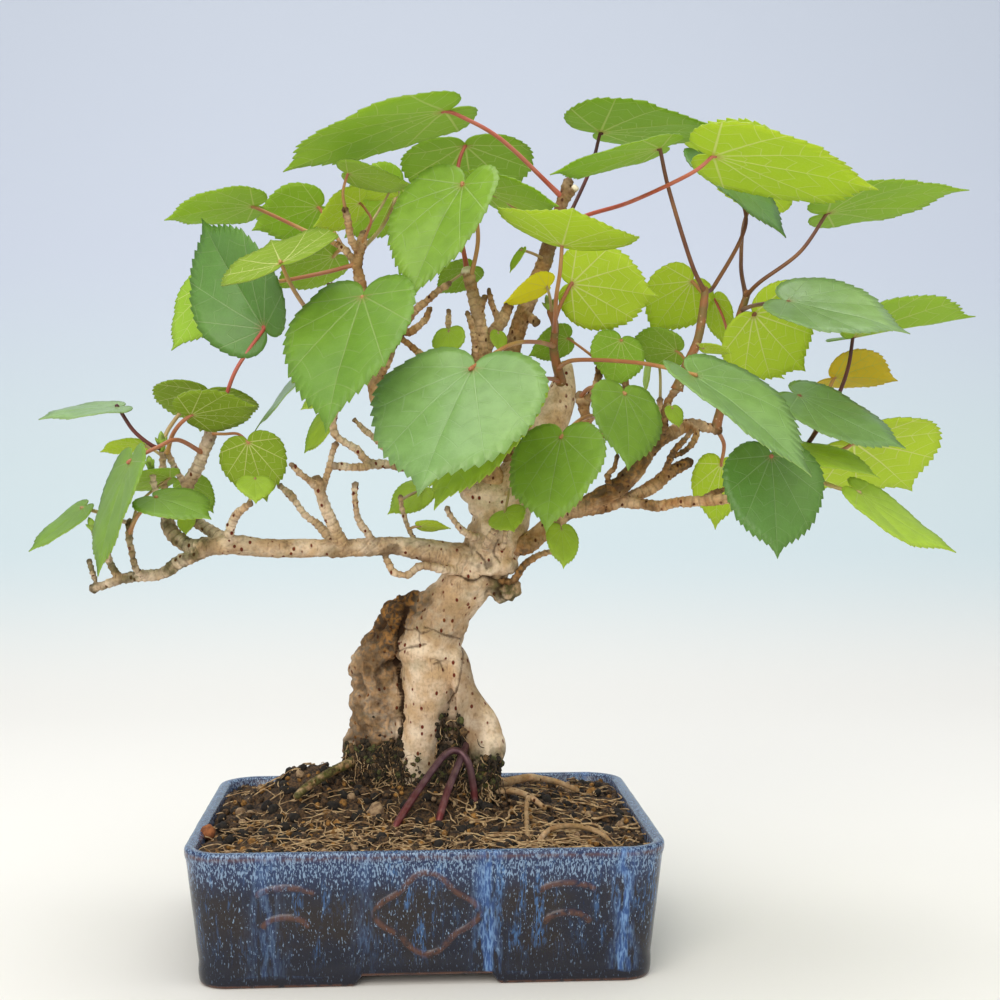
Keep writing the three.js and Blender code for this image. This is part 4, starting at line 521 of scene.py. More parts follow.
def thinned(mesh, share):
    """The mesh with a share of its faces left: edges on even ground collapse first."""
    return modified(mesh, ("DECIMATE", {"ratio": share}))


def add_piece(name, mesh, materials, nodes):
    """Put a mesh in the scene as a piece that stands for its CAD nodes and rides on the root body."""
    piece = link_object(name, mesh)
    for material in materials:
        mesh.materials.append(material)
    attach(piece, "root")
    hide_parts(*nodes)
    print(name, len(mesh.polygons), "faces")


# %% [markdown]
# ## Materials
# Colours are written as sRGB hex values and turned to linear light. A signal is a value in a
# material's nodes, and arithmetic on signals adds the nodes for it.

# %% Colours, nodes and signals
node_trees = []  # The last one belongs to the material that is being made.


def linear(hex_colour):
    """sRGB hex to linear light: each channel over 12.92 below 0.04045, else a power of 2.4."""
    channels = [int(hex_colour[k:k + 2], 16) / 255 for k in (1, 3, 5)]
    return [c / 12.92 if c <= 0.04045 else ((c + 0.055) / 1.055) ** 2.4 for c in channels] + [1.0]


class Signal:
    """A value in the nodes of a material: arithmetic on it adds the maths node for it."""

    def __init__(self, socket):
        self.socket = socket

    def __add__(self, other):
        return maths("ADD", self, other)

    def __radd__(self, other):
        return maths("ADD", other, self)

    def __sub__(self, other):
        return maths("SUBTRACT", self, other)

    def __rsub__(self, other):
        return maths("SUBTRACT", other, self)

    def __mul__(self, other):
        return maths("MULTIPLY", self, other)

    def __truediv__(self, other):
        return maths("DIVIDE", self, other)


def new_material(name):
    """A fresh material and its surface shader. Nodes go to it until the next one is made."""
    material = bpy.data.materials.new(name)
    material.use_nodes = True
    node_trees.append(material.node_tree)
    return material, material.node_tree.nodes["Principled BSDF"]


def fill(node, inputs):
    """Put a signal, a hex colour or another constant on each named socket of a node."""
    for key, value in inputs.items():
        if isinstance(value, Signal):
            node_trees[-1].links.new(value.socket, node.inputs[key])
        else:
            node.inputs[key].default_value = linear(value) if isinstance(value, str) else value


def add_node(kind, inputs=None, output=0, **settings):
    """A new node with its properties and sockets set: gives the signal of one output."""
    node = node_trees[-1].nodes.new(kind)
    for key, value in settings.items():
        setattr(node, key, value)
    fill(node, inputs or {})
    return Signal(node.outputs[output])


def maths(operation, a, b=0.0):
    """One operation on two values."""
    return add_node("ShaderNodeMath", {0: a, 1: b}, operation=operation)


def mixed(share, low, high):
    """The colour between two colours, each a hex value or a signal."""
    return add_node("ShaderNodeMix", {0: share, 6: low, 7: high}, 2, data_type="RGBA")


def ramp(value, low, high):
    """0 below the low value, 1 above the high one, smooth between."""
    return add_node("ShaderNodeMapRange", {0: value, 1: low, 2: high}, interpolation_type="SMOOTHSTEP")


def grain(place, size_mm, detail=2.0):
    """Noise whose blotches are about so many millimetres wide."""
    return add_node("ShaderNodeTexNoise", {"Vector": place, "Scale": 1000 / size_mm, "Detail": detail})


def blotches(place, size_mm, detail, low, high):
    """Grain with its low and high values pulled apart to 0 and 1."""
    return ramp(grain(place, size_mm, detail), low, high)


def stretched(place, upright):
    """Coordinates that make a pattern longer up and down: the height counts for a share."""
    return add_node("ShaderNodeMapping", {"Vector": place, "Scale": (1.0, 1.0, upright)})


def axis_of(vector, axis):
    """One coordinate of a vector."""
    return add_node("ShaderNodeSeparateXYZ", {0: vector}, axis)


def bump(height, strength, distance):
    """A surface direction that leans with a height; the distance is in metres."""
    return add_node("ShaderNodeBump", {"Height": height, "Strength": strength, "Distance": distance})


def share_of(name):
    """A number stored on the mesh."""
    return add_node("ShaderNodeAttribute", output="Fac", attribute_name=name)


def object_place():
    """Object coordinates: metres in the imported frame."""
    return add_node("ShaderNodeTexCoord", output="Object")


# %% [markdown]
# ## Floor, light and camera
# The photograph is a high-key studio picture: a pale paper sweep that is the floor and rises behind in
# one curve, soft light from above and the front, few shadows. The camera stands where it was taken from.

# %% Floor, lamps and camera
FLOOR_HALF, SWEEP_START, SWEEP_WALL, SWEEP_RISE, WALL_TOP = 5, 0.7, 1.8, 1.1, 4
bend = np.linspace(0, np.pi / 2, 24)
curve = zip(SWEEP_START + SWEEP_RISE * np.sin(bend), SWEEP_RISE - SWEEP_RISE * np.cos(bend))
sweep = [(-FLOOR_HALF, 0), *curve, (SWEEP_WALL, WALL_TOP)]
floor_mesh = bpy.data.meshes.new("floor")
floor_mesh.from_pydata([(side, y, z) for y, z in sweep for side in (-FLOOR_HALF, FLOOR_HALF)], [],
                       [(2 * k, 2 * k + 1, 2 * k + 3, 2 * k + 2) for k in range(len(sweep) - 1)])
floor_mesh.polygons.foreach_set("use_smooth", np.ones(len(sweep) - 1, bool))
floor = link_object("floor", floor_mesh)
paper, shader = new_material("matte_backdrop_paper")
rise = axis_of(object_place(), 2)
haze = mixed(ramp(rise, -0.08, 0.14), "#f6ebdd", "#d0dbda")
fill(shader, {"Base Color": mixed(ramp(rise, 0.18, 0.6), haze, "#cdd2dc"), "Roughness": 0.9})
floor_mesh.materials.append(paper)

world = bpy.data.worlds.new("studio")
bpy.context.scene.world = world
world.use_nodes = True
fill(world.node_tree.nodes["Background"], {"Color": "#e1e8f2", "Strength": 0.88})
bpy.context.scene.view_settings.view_transform = "Standard"


def aim(thing, place, direction):
    """Stand a lamp or camera at a place, facing along a direction."""
    thing.location = place
    thing.rotation_euler = Vector(direction).to_track_quat("-Z", "Y").to_euler()


def add_softbox(name, place, target, size, watts, colour):
    """A square area lamp that faces a point."""
    lamp = bpy.data.lights.new(name, "AREA")
    lamp.size, lamp.energy, lamp.color = size, watts, linear(colour)[:3]
    aim(link_object(name, lamp), place, Vector(target) - Vector(place))


add_softbox("overhead_softbox", (0.02, 0.0, 1.6), (0, 0, 0.25), 1.3, 13, "#ffffff")
add_softbox("front_softbox", (-0.5, -1.4, 1.0), (0, 0, 0.2), 1.3, 17, "#fffaf2")
add_softbox("wall_softbox", (0.0, 0.7, 2.2), (0, 1.7, 0.6), 1.6, 3, "#ffffff")

camera_data = bpy.data.cameras.new("camera")
camera_data.lens, camera_data.sensor_width = 36 * FOCAL_PIXELS / 1000, 36
camera_data.clip_start, camera_data.clip_end = 0.05, 20
camera = link_object("camera", camera_data)
level = math.cos(EYE_DIP)
aim(camera, EYE / 1000 + POT_MIDDLE, (math.sin(EYE_TURN) * level, math.cos(EYE_TURN) * level, -math.sin(EYE_DIP)))
bpy.context.scene.camera = camera
print("camera at", [round(v, 3) for v in camera.location])

# %% [markdown]
# ## The wood
# Bark, root and twigs grew as one body. Each limb is a tube along its measured course, wider at its
# collar, and the tubes and burls of a region are melted together by a voxel remesh, which gives the
# soft unions that living wood has. Noise then raises knobs on the corky root and burls.

# %% Courses of the limbs
limb_line = {}
LINE_POINTS = 161


def nearest_on(limb, pixel):
    """The point of a limb's centre line that appears nearest a pixel."""
    line = limb_line[limb][:, :3]
    return line[np.argmin(((to_photo(line) - np.array(pixel)) ** 2).sum(1))]


for name, parent, start, path in LIMBS:
    knots = [[*from_photo(px, py, depth), diameter] for px, py, depth, diameter in path]
    if parent:
        knots.insert(0, [*nearest_on(parent, start), path[0][3]])
    limb_line[name] = course(knots, LINE_POINTS)
print("limbs:", len(limb_line))


# %% Tubes with collars, and round knots
SHOOTS = ["shoot_a", "shoot_b", "shoot_c", "centre_shoot"]


def limbs_from(first, last):
    """Names of the old limbs from one row of the table to another, without the young shoots."""
    names = list(limb_line)
    return [name for name in names[names.index(first):names.index(last) + 1] if name not in SHOOTS]


TRUNK_LIMBS, SURFACE_ROOTS = limbs_from("trunk", "middle_root"), limbs_from("moss_root", "loop_root")
SMOOTH_LIMBS = {*TRUNK_LIMBS, *SURFACE_ROOTS, "left_branch", "right_limb"}
SCAR_GAP = 3.4  # Leaf scars ring a twig every few millimetres.
TRUNK_VOXEL = 0.72  # Millimetres; the other regions have theirs in their table.
TRUNK_FACES_KEPT, FACES_KEPT = 0.55, 0.5  # Shares of the faces that thinning leaves.


def limb_tube(name, step=1.5):
    """A tube along a limb: the radius swells by 45% at the collar, waves by 7%, and has leaf-scar rings."""
    line = limb_line[name]
    length = np.linalg.norm(np.diff(line[:, :3], axis=0), axis=1).sum()
    count = max(int(length / step), 8)
    knots = course(line[::8], count)
    along = np.linspace(0, length, count)
    place, radius = knots[:, :3], knots[:, 3] / 2
    if name != "trunk":
        radius = radius * (1 + 0.45 * np.exp(-along / (1.3 * radius)))
    thin = smooth((6.5 - line[LINE_POINTS // 2, 3]) / 3)
    radius = radius * (1 + 0.07 * noise(place, 7, 3) + 0.05 * thin * noise(place, 2.4, 4))
    if name not in SMOOTH_LIMBS:
        scar = (along + 1.6 * noise(place, 9, 6)) % SCAR_GAP - SCAR_GAP / 2
        radius = radius + 0.15 * (0.55 + 0.45 * noise(place, 5, 8)) * bell(scar, 0.6)
    sides = 10 if radius.max() < 3 else 18 if radius.max() < 8 else 36
    wander = 0.5 * thin * noise_vectors(place, 9, 5) * np.minimum(along / 8, 1)[:, None]
    return *tube(place + wander, radius, sides), 0, None


def knot_ball(px, py, depth, across, deep, tall):
    """A ball squashed to three half sizes: latitude rings of points."""
    rows, columns = 18, 24
    polar = np.linspace(0.02, np.pi - 0.02, rows)[:, None]
    turn = np.linspace(0, 2 * np.pi, columns, endpoint=False)[None]
    ball = [np.sin(polar) * np.cos(turn), np.sin(polar) * np.sin(turn), -np.cos(polar) * np.ones_like(turn)]
    points = from_photo(px, py, depth) + np.stack(ball, -1).reshape(-1, 3) * np.array([across, deep, tall])
    first = np.arange(columns)[None]
    return points, [grid_faces(rows, columns), first[:, ::-1], (rows - 1) * columns + first], 0, None


def near_line(points, limb):
    """Distance from each point to a limb's centre line."""
    line = limb_line[limb][::6, :3]
    return np.sqrt(((points[:, None] - line[None]) ** 2).sum(-1).min(1))


# %% [markdown]
# ### Bark
# Bark is dead cork over living wood. This tree's young bark is thin, pale tan and smooth, dotted with
# red-brown lenticels, the pores it breathes through. The old root is golden brown and crumbled, and
# green algae and moss grow where water splashes.

# %% Bark finish
def bark_material(name, pale, deep, spot, green_share, pore_gap, rust_share):
    """Mottled cork: blotches of two tans, dark lenticels and seams, green film and rust by share."""
    material, shader = new_material(name)
    place = object_place()
    blotch = blotches(place, 11, 4, 0.34, 0.66)
    fine = blotches(place, 1.5, 5, 0.4, 0.72)
    colour = mixed(fine * 0.3, mixed(blotch, pale, deep), "#76553a")
    streaks = blotches(stretched(place, 0.2), 1.3, 3, 0.56, 0.7) * blotch
    colour = mixed(streaks * 0.55, colour, "#6a4a30")
    colour = mixed(blotches(place, 13, 4, 0.5, 0.68) * green_share, colour, "#6f6a3e")
    colour = mixed(blotches(place, 4.5, 5, 0.5, 0.62) * rust_share, colour, "#8c4a26")
    pores = add_node("ShaderNodeTexVoronoi",
                     {"Vector": stretched(place, 0.7), "Scale": 1000 / pore_gap, "Randomness": 1.0}, "Distance")
    dots = (1.0 - ramp(pores, 0.15, 0.24)) * blotches(place, 10, 1, 0.36, 0.48)
    colour = mixed(dots, colour, spot)
    cork = share_of("cork")
    crumb = blotches(place, 2.4, 6, 0.38, 0.6)
    # Near-black where the crumbs sink in the bump below: painted shade in the crumbs' hollows.
    golden = mixed(crumb, mixed(blotch, "#9e681e", "#603e12"), "#2e1c0a")
    colour = mixed(cork, colour, golden)
    moss = share_of("moss") * blotches(place, 5, 4, 0.32, 0.55)
    colour = mixed(moss, colour, mixed(fine, "#4d5022", "#22200f"))
    # The stored share darkens the bark with painted shade in hollows, cracks and gaps, and with real grime and algae
    # at the joints.
    colour = mixed(share_of("pit"), colour, "#33200f")
    colour = mixed(share_of("cut"), colour, "#eadcc0")
    relief = grain(place, 1.1, 6) * 0.7 + dots * 0.35 - crumb * cork * 1.3
    fill(shader, {"Base Color": colour, "Roughness": 0.82, "Specular IOR Level": 0.22,
                  "Normal": bump(relief, 0.6, 0.0007)})
    return material


trunk_bark = bark_material("pale_smooth_trunk_bark", "#ecd4b6", "#cca980", "#6a2818", 0.32, 3.9, 0.06)
branch_bark = bark_material("weathered_branch_bark", "#e8c49a", "#c0925e", "#5a2c1a", 0.25, 3.6, 0.34)

# %% [markdown]
# ### Trunk and roots
# The trunk, the right root leg and the corky root on the left carry the knobs and burls. Old growth
# cracks cross the trunk's front: each is a line on the photograph, cut in where the wood faces it.

# %% Trunk and roots
CRACKS = [
    (1.3, [(401, 626), (408, 630), (416, 629), (421, 633), (430, 631)]),
    (1.4, [(424, 627), (434, 630), (442, 634), (452, 637), (461, 639)]),
    (1.4, [(398, 653), (404, 649), (411, 647), (418, 646), (426, 644)]),
    (1.1, [(420, 632), (419, 639), (421, 645)]),
    (1.2, [(431, 659), (437, 660), (441, 664), (444, 671)]),
    (1.1, [(434, 664), (440, 662), (446, 660)]),
    (3.0, [(408, 608), (402, 625), (398, 648), (399, 672), (402, 700), (401, 728), (394, 752), (387, 776)]),
    (1.6, [(462, 640), (464, 655), (461, 672), (457, 688), (449, 703)]),
    (1.8, [(452, 570), (462, 577), (473, 581), (484, 577), (496, 581), (508, 574)]),
    (1.2, [(455, 546), (460, 546), (462, 550), (459, 554), (455, 553), (454, 549), (455, 546)]),
    (1.5, [(476, 552), (484, 560), (486, 570)]),
    (1.4, [(498, 540), (494, 552), (500, 562)]),
]
CRACK_REACH = 95  # Pixels from a crack's middle within which the skin is looked at.


def crack_depth(points, normals):
    """1 on a crack and 0 past its half width in pixels, on skin that faces the photograph's camera."""
    seen = to_photo(points)
    depth = np.zeros(len(points))
    for half_width, line in CRACKS:
        fine = course(np.array(line), 60)
        near = np.abs(seen - fine.mean(0)).max(1) < CRACK_REACH
        away = np.sqrt(((seen[near][:, None] - fine[None]) ** 2).sum(-1).min(1))
        away = away + 0.5 * half_width * noise(points[near], 3, 45)
        cut = smooth((half_width - away) / (0.6 * half_width)) * min(half_width / 1.4, 1.6)
        depth[near] = np.maximum(depth[near], cut)
    facing = (normals * unit(EYE - points)).sum(1)
    return depth * smooth(facing / 0.3)


def near_spot(points, pixel, reach):
    """1 in a round region about a point of the photograph at depth 0, falling fast to 0 at its reach."""
    return bell(np.linalg.norm(points - from_photo(*pixel, 0), axis=1), reach, 4)


parts = [limb_tube(name) for name in TRUNK_LIMBS] + [knot_ball(*row) for row in LUMPS[:-1]]
points, trunk_mesh = remeshed("trunk_and_roots", parts, TRUNK_VOXEL)
normals = normals_of(trunk_mesh)
cork = bell(near_line(points, "corky_root"), 15, 4) * smooth((318 - points[:, 2]) / 20)
cork *= 1 - 0.95 * bell(near_line(points, "trunk"), 13.5, 6)
burl, ear = near_spot(points, (490, 556), 24), near_spot(points, (506, 590), 10)
fold = 1 - 2 * np.abs(noise(points + 3.5 * noise_vectors(points, 9, 20), 11, 9, 3))
lump = noise(points, 5.5, 10, 3)
raised = cork * (2.6 * fold + 2.4 * lump - 0.9)
raised += burl * (1.6 * noise(points, 6.5, 21, 2) + 0.6 * noise(points, 2.2, 22))
raised += ear * (1.9 * noise(points, 4.2, 23, 2) - 0.6)
raised += (1 - cork) * (0.55 * noise(points, 14, 30) + 0.14 * noise(points, 3, 31, 2))
crack = crack_depth(points, normals)
set_points(trunk_mesh, points + (raised - 0.7 * crack)[:, None] * normals)
across, down = to_photo(points).T
# Painted shade in the gap between the trunk and the right leg; left of the trunk's foot the darkening is real grime
# and humus.
gap_shade = smooth((across - 434) / 7) * smooth((470 - across) / 9) * smooth((down - 700) / 26)
foot_dirt = smooth((402 - across) / 6) * smooth((down - 722 - 0.2 * (across - 350)) / 22)
dirt_and_gap_shade = np.maximum(gap_shade, foot_dirt) * smooth(0.85 + noise(points, 6, 44, 2))
leg_shade = smooth((490 - across) / 14) * smooth((across - 454) / 8) * smooth((down - 640) / 18)
leg_shade *= points[:, 2] > 60
foot_moss = np.maximum(smooth((down - 738) / 26) * (0.35 + 0.65 * (across > 455)), 0.9 * ear)
# Darkening stored on the bark: painted shade on the leg's shaded side, in the cracks, in the gap and in the hollows of
# the cork, burl and ear, and real grime at the foot.
pits = [
    0.45 * leg_shade, 0.68 * crack, 0.9 * dirt_and_gap_shade, cork * smooth((-0.2 - raised) / 1.8) * 0.9,
    0.7 * burl * smooth((-0.5 - raised) / 0.8), 0.85 * ear * smooth((-0.2 - raised) / 1.2),
]
set_shares(trunk_mesh, cork=cork + 0.35 * burl * (noise(points, 5, 40) > 0.1),
           moss=np.maximum(foot_moss, smooth((96 - points[:, 2]) / 26) * cork), pit=np.maximum.reduce(pits))
add_piece("trunk_and_roots", thinned(trunk_mesh, TRUNK_FACES_KEPT), [trunk_bark], ["tree"])

# %% [markdown]
# ### Branches and twigs
# Three more regions: the long left branch, the limbs to the right, and the limbs of the crown. Dirt and
# algae settle dark in the crotches, so a share of dark is stored near the start of each limb; the same
# share also holds painted shade in the bark's hollows.

# %% Branches and twigs
# Each region: its bark, first and last limb, voxel size in millimetres and share of corky colour.
REGIONS = {
    "left_branch_wood": (trunk_bark, "left_branch", "burl_stub_3", 0.55, 0.3),
    "right_limb_wood": (branch_bark, "burl_spur", "inner_twig_3", 0.6, 0.8),
    "crown_wood": (branch_bark, "centre_limb", "crown_side_4", 0.6, 0.45),
}


def scar_rings(points, names):
    """Closeness to a leaf-scar ring and to the dark line beside it, and where the last 2 mm of a limb are.

    Along the nearest limb the rings lie evenly, shifted by noise; closeness is a bell curve.
    """
    nearest, ring, line_share, tip = np.full(len(points), 9.0), *np.zeros((3, len(points)))
    shift = 1.5 * noise(points, 9, 6)
    for name in (name for name in names if name not in SMOOTH_LIMBS):
        line = limb_line[name][:, :3]
        ahead = np.gradient(line, axis=0)
        step = np.linalg.norm(ahead, axis=1)
        passed = np.cumsum(step) - step[0]
        near = np.where(((points > line.min(0) - 6) & (points < line.max(0) + 6)).all(1))[0]
        off = points[near][:, None] - line[None]
        away = np.sqrt((off ** 2).sum(-1))
        closest = away.argmin(1)
        off = off[np.arange(len(near)), closest]
        past = (off * (ahead / step[:, None])[closest]).sum(1)
        keep = away.min(1) < nearest[near]
        near, along = near[keep], (passed[closest] + past)[keep]
        nearest[near] = away.min(1)[keep]
        place = (along + shift[near]) % SCAR_GAP - SCAR_GAP / 2
        thin = smooth((6.5 - limb_line[name][closest[keep], 3] / 2) / 3)
        ring[near] = thin * bell(place, 0.5)
        line_share[near] = thin * bell(place - 0.85, 0.35)
        tip[near] = smooth((along - passed[-1] + 2) / 1.5)
    return ring, line_share, tip


CUT_LIMBS = ["cut_stub", "centre_stub", "stub_tall"]
limb_starts = np.array([limb_line[row[0]][0, :3] for row in LIMBS])
for region, (bark, first, last, voxel, cork_share) in REGIONS.items():
    names = limbs_from(first, last)
    parts = [limb_tube(name, 0.9) for name in names]
    if region == "crown_wood":
        parts.append(knot_ball(*LUMPS[-1]))
    points, mesh = remeshed(region, parts, voxel)
    ring, ring_line, tip = scar_rings(points, names)
    raised = 0.3 * noise(points, 2.2, 50, 2) + 0.34 * noise(points, 6, 51) + 0.34 * ring - 0.16 * ring_line
    set_points(mesh, points + raised[:, None] * normals_of(mesh))
    to_start = np.full(len(points), 99.0)
    for start in limb_starts:
        to_start = np.minimum(to_start, ((points - start) ** 2).sum(1) ** 0.5)
    crotch = bell(to_start, 6.5) * smooth(0.6 + noise(points, 4, 53, 2))
    across, down = to_photo(points).T
    green = 0.75 * smooth((228 - across) / 34) * smooth((down - 500) / 16) * smooth(0.75 + noise(points, 7, 62, 2))
    cut = np.zeros(len(points))
    for name in (name for name in CUT_LIMBS if name in names):
        end, ahead = limb_line[name][-1, :3], limb_line[name][-1, :3] - limb_line[name][-5, :3]
        reach = np.linalg.norm(points - end, axis=1) < 0.8 * limb_line[name][-1, 3]
        cut = np.maximum(cut, smooth(((points - end) @ unit(ahead) + 0.7) / 0.5) * reach)
    # Darker in the crotches, beside the scar rings and at the twig tips, all real; painted shade in the hollows of the
    # bark; and darker over two more patches, the cut stub's upper part and the centre limb's top.
    dark = [
        0.5 * crotch, 0.62 * smooth((-0.24 - raised) / 0.3), 0.45 * ring_line, 0.6 * tip,
        0.45 * smooth((450 - down) / 10) * (np.abs(across - 208) < 14) * smooth((down - 405) / 5),
        0.5 * smooth((266 - down) / 16) * (np.abs(across - 552) < 30),
    ]
    set_shares(mesh, cork=cork_share * smooth(0.3 + noise(points, 16, 60, 2)),
               moss=np.maximum(0.35 * smooth(noise(points, 22, 61)), green), cut=cut,
               pit=np.maximum.reduce(dark) * (1 - cut))
    add_piece(region, thinned(mesh, FACES_KEPT), [bark], ["tree"])

# %% Surface roots, young shoots and buds
root_mesh = make_mesh("surface_roots", [limb_tube(name, 1.0) for name in SURFACE_ROOTS])
root_points = points_of(root_mesh)
set_shares(root_mesh, cork=np.full(len(root_points), 0.3), moss=0.22 + 0.68 * (root_points[:, 0] < -30))
add_piece("surface_roots", root_mesh, [branch_bark], ["tree"])

young_bark, shader = new_material("red_brown_shoot_skin")
place = object_place()
colour = mixed(blotches(place, 5, 3, 0.35, 0.65), "#9a6238", "#7c6434")
pores = add_node("ShaderNodeTexVoronoi", {"Vector": place, "Scale": 1000 / 2.6}, "Distance")
dots = 1.0 - ramp(pores, 0.12, 0.24)
fill(shader, {"Base Color": mixed(dots * 0.7, colour, "#d0b08e"), "Roughness": 0.6})
shoot_mesh = make_mesh("young_shoots", [limb_tube(name, 1.0) for name in SHOOTS])
add_piece("young_shoots", shoot_mesh, [young_bark], ["tree"])

bud_skin, shader = new_material("green_bud_scale_skin")
fill(shader, {"Base Color": mixed(blotches(object_place(), 3, 2, 0.4, 0.6), "#8fae3c", "#6c7a2c"), "Roughness": 0.55})


def pointed_bud(foot, ahead, length, across):
    """A bud: a tube that swells above its foot and closes to a point."""
    reach = np.linspace(-0.2, 1, 12)
    swell = across * np.sqrt(np.clip(1 - ((reach - 0.3) / 0.72) ** 2, 0.02, 1))
    return *tube(foot + reach[:, None] * length * ahead, swell, 10), 0, None


bud_parts = []
for limb, length in BUDS:
    end = limb_line[limb][-1, :3]
    ahead = unit(end - limb_line[limb][-9, :3])
    bud_parts.append(pointed_bud(end, ahead, length, 1.9))
    side = unit(np.cross(ahead, EYE - end))
    bud_parts += [pointed_bud(end, unit(ahead + lean * side), 0.75 * length, 1.0) for lean in (-0.55, 0.5)]
add_piece("buds", make_mesh("buds", bud_parts), [bud_skin], ["tree"])

# %% [markdown]
# ## Leaves
# Each leaf is one heart-shaped blade on a round stalk. The blade is a closed skin over the same frame
# and the same gentle bend as the solid, with fine teeth that point to the tip and with the lamina
# pillowed between its main veins.

# %% One leaf's blade and stalk
VEIN_ANGLES = (0.0, 0.42, 0.85, 1.45)
BLADE_HUB = np.array([0.14, 0])  # Where the spokes start, on the midrib, in blade lengths.
UNDER_SHIFT = 3.0  # The under face lies this far along in the leaf's plane map.
TOOTH_DEPTH = 0.052  # In blade lengths.
LEAF_DETAIL = [(40, 44, 6), (20, 32, 5), (0, 20, 4)]  # Blades longer than, in millimetres: teeth and rings.


def blade_radius(angle):
    """Distance from stalk end to margin: wide at the back with a notch, narrowing to a point ahead."""
    t = np.abs(angle)
    ahead = 0.68 + 0.17 * bell(t, 0.6) + 0.15 * np.exp(-t / 0.07)
    return ahead - 0.6 * smooth((t - 0.6) / 2.4) - 0.05 * bell(np.pi - t, 0.3)


def blade_frame(end, tip, turn):
    """Stalk end, and the blade's axes along the midrib, across, and out of the upper face, and its length."""
    end, tip, turn = from_photo(*end), from_photo(*tip), math.radians(turn)
    along = unit(tip - end)
    view = unit((EYE - end) - along * ((EYE - end) @ along))
    over = np.cross(along, view)
    over = -over if over[2] < 0 else over
    out = view * math.sin(turn) + over * math.cos(turn)
    return end, along, np.cross(out, along), out, np.linalg.norm(tip - end)


def blade_height(x, y, arch, fold, phase):
    """Arch along the midrib, crease that fades to the tip, and five waves that grow to the margin."""
    rise = np.where(x > 0, 4 * arch * x * (1 - x), 0)
    crease = fold * np.abs(y) * (1 - np.clip(x, 0, 1) ** 2)
    return rise + crease + 0.03 * (x * x + y * y) * np.sin(5 * np.arctan2(y, x) + phase)


def pillow(x, y):
    """Up to 1 midway between main veins, 0 on a vein: the sine of the angle's share of its sector."""
    angle = np.abs(np.arctan2(y, x))
    edges = np.array([*VEIN_ANGLES, 2.3, 3.15])
    sector = np.clip(np.searchsorted(edges, angle) - 1, 0, len(edges) - 2)
    share = (angle - edges[sector]) / (edges[sector + 1] - edges[sector])
    return np.sin(np.pi * np.clip(share, 0, 1)) ** 0.7


def blade_parts(row, index):
    """Points, faces and leaf-plane map of a blade: spokes from a point on the midrib, rings to the margin."""
    end, along, across, out, length = blade_frame(*row[3:6])
    width, arch, fold = row[6:]
    teeth, rings = next(detail for least, *detail in LEAF_DETAIL if length > least)
    spokes = 4 * teeth
    fine = np.linspace(-np.pi, np.pi, 721)
    outline = np.stack([blade_radius(fine) * np.cos(fine), blade_radius(fine) * np.sin(fine)], 1)
    travelled = np.concatenate([[0], np.cumsum(np.linalg.norm(np.diff(outline, axis=0), axis=1))])
    share = np.arange(spokes) / spokes
    angle = np.interp(share * travelled[-1], travelled, fine)
    tooth = (share * teeth) % 1
    tooth = np.where(angle < 0, tooth, 1 - tooth)
    plain_ends = np.clip(np.abs(np.abs(angle) - np.pi) * 4, 0, 1) * np.clip(np.abs(angle) * 6, 0, 1)
    jag = TOOTH_DEPTH * (tooth - 0.4) * plain_ends
    radius = blade_radius(angle) * (1 + jag + 0.012 * np.sin(7 * angle + index))
    rim = np.stack([radius * np.cos(angle), radius * np.sin(angle) * width], 1)
    reach = (np.arange(1, rings + 1) / rings) ** 0.9
    flat = np.vstack([(BLADE_HUB + reach[:, None, None] * (rim - BLADE_HUB)).reshape(-1, 2), BLADE_HUB])
    x, y = flat.T
    spot = np.stack([x * 3, y * 3, np.full(len(x), index * 5.0)], 1)
    height = blade_height(x, y, arch, fold, index * 1.7)
    height = height + 0.010 * pillow(x, y) * np.hypot(x, y) ** 0.5 + 0.008 * noise(spot, 1.0, 70, 2)
    plane = end + length * (x[:, None] * along + y[:, None] * across) + (length * height)[:, None] * out
    points = np.vstack([plane + BLADE_THICK / 2 * out, plane - BLADE_THICK / 2 * out])
    count = len(flat)
    quads, hub = grid_faces(rings, spokes), fan(0, spokes, count - 1)
    last = (rings - 1) * spokes + np.arange(spokes)
    beyond = np.roll(last, -1)
    edge = np.stack([last, last + count, beyond + count, beyond], 1)
    faces = [quads[:, ::-1], hub, quads + count, hub[:, ::-1] + count, edge]
    return points, faces, 0, np.vstack([flat, flat + [UNDER_SHIFT, 0]])


def stalk_parts(row, slot):
    """A round stalk, thicker where it leaves the twig and where it meets the blade."""
    limb, pixel, bends, end, tip, turn = row[:6]
    _, along, _, _, length = blade_frame(end, tip, turn)
    thin = 0.7 if length < 32 else 1
    knots = [nearest_on(limb, pixel), *(from_photo(*bend) for bend in bends), from_photo(*end)]
    knots.append(knots[-1] + along * 0.015 * length)
    line = course(knots, 12 * len(knots))
    t = np.linspace(0, 1, len(line))
    radius = thin * (STALK_BASE * (1 - t) + STALK_TIP * t) / 2
    radius = radius * (1 + 0.5 * np.exp(-t / 0.03) + 0.25 * bell(t - 0.97, 0.03))
    return *tube(line, radius, 10), slot, None


# %% [markdown]
# ### Leaf finish
# A leaf is a thin skin of green cells over white spongy tissue, ribbed by veins. The upper face has a
# waxy sheen. The under face is paler, and light that enters one face leaves the other as yellow-green.
# Veins are worked out in the leaf's own plane: seven main veins from the stalk, side veins between
# them, and a fine net.

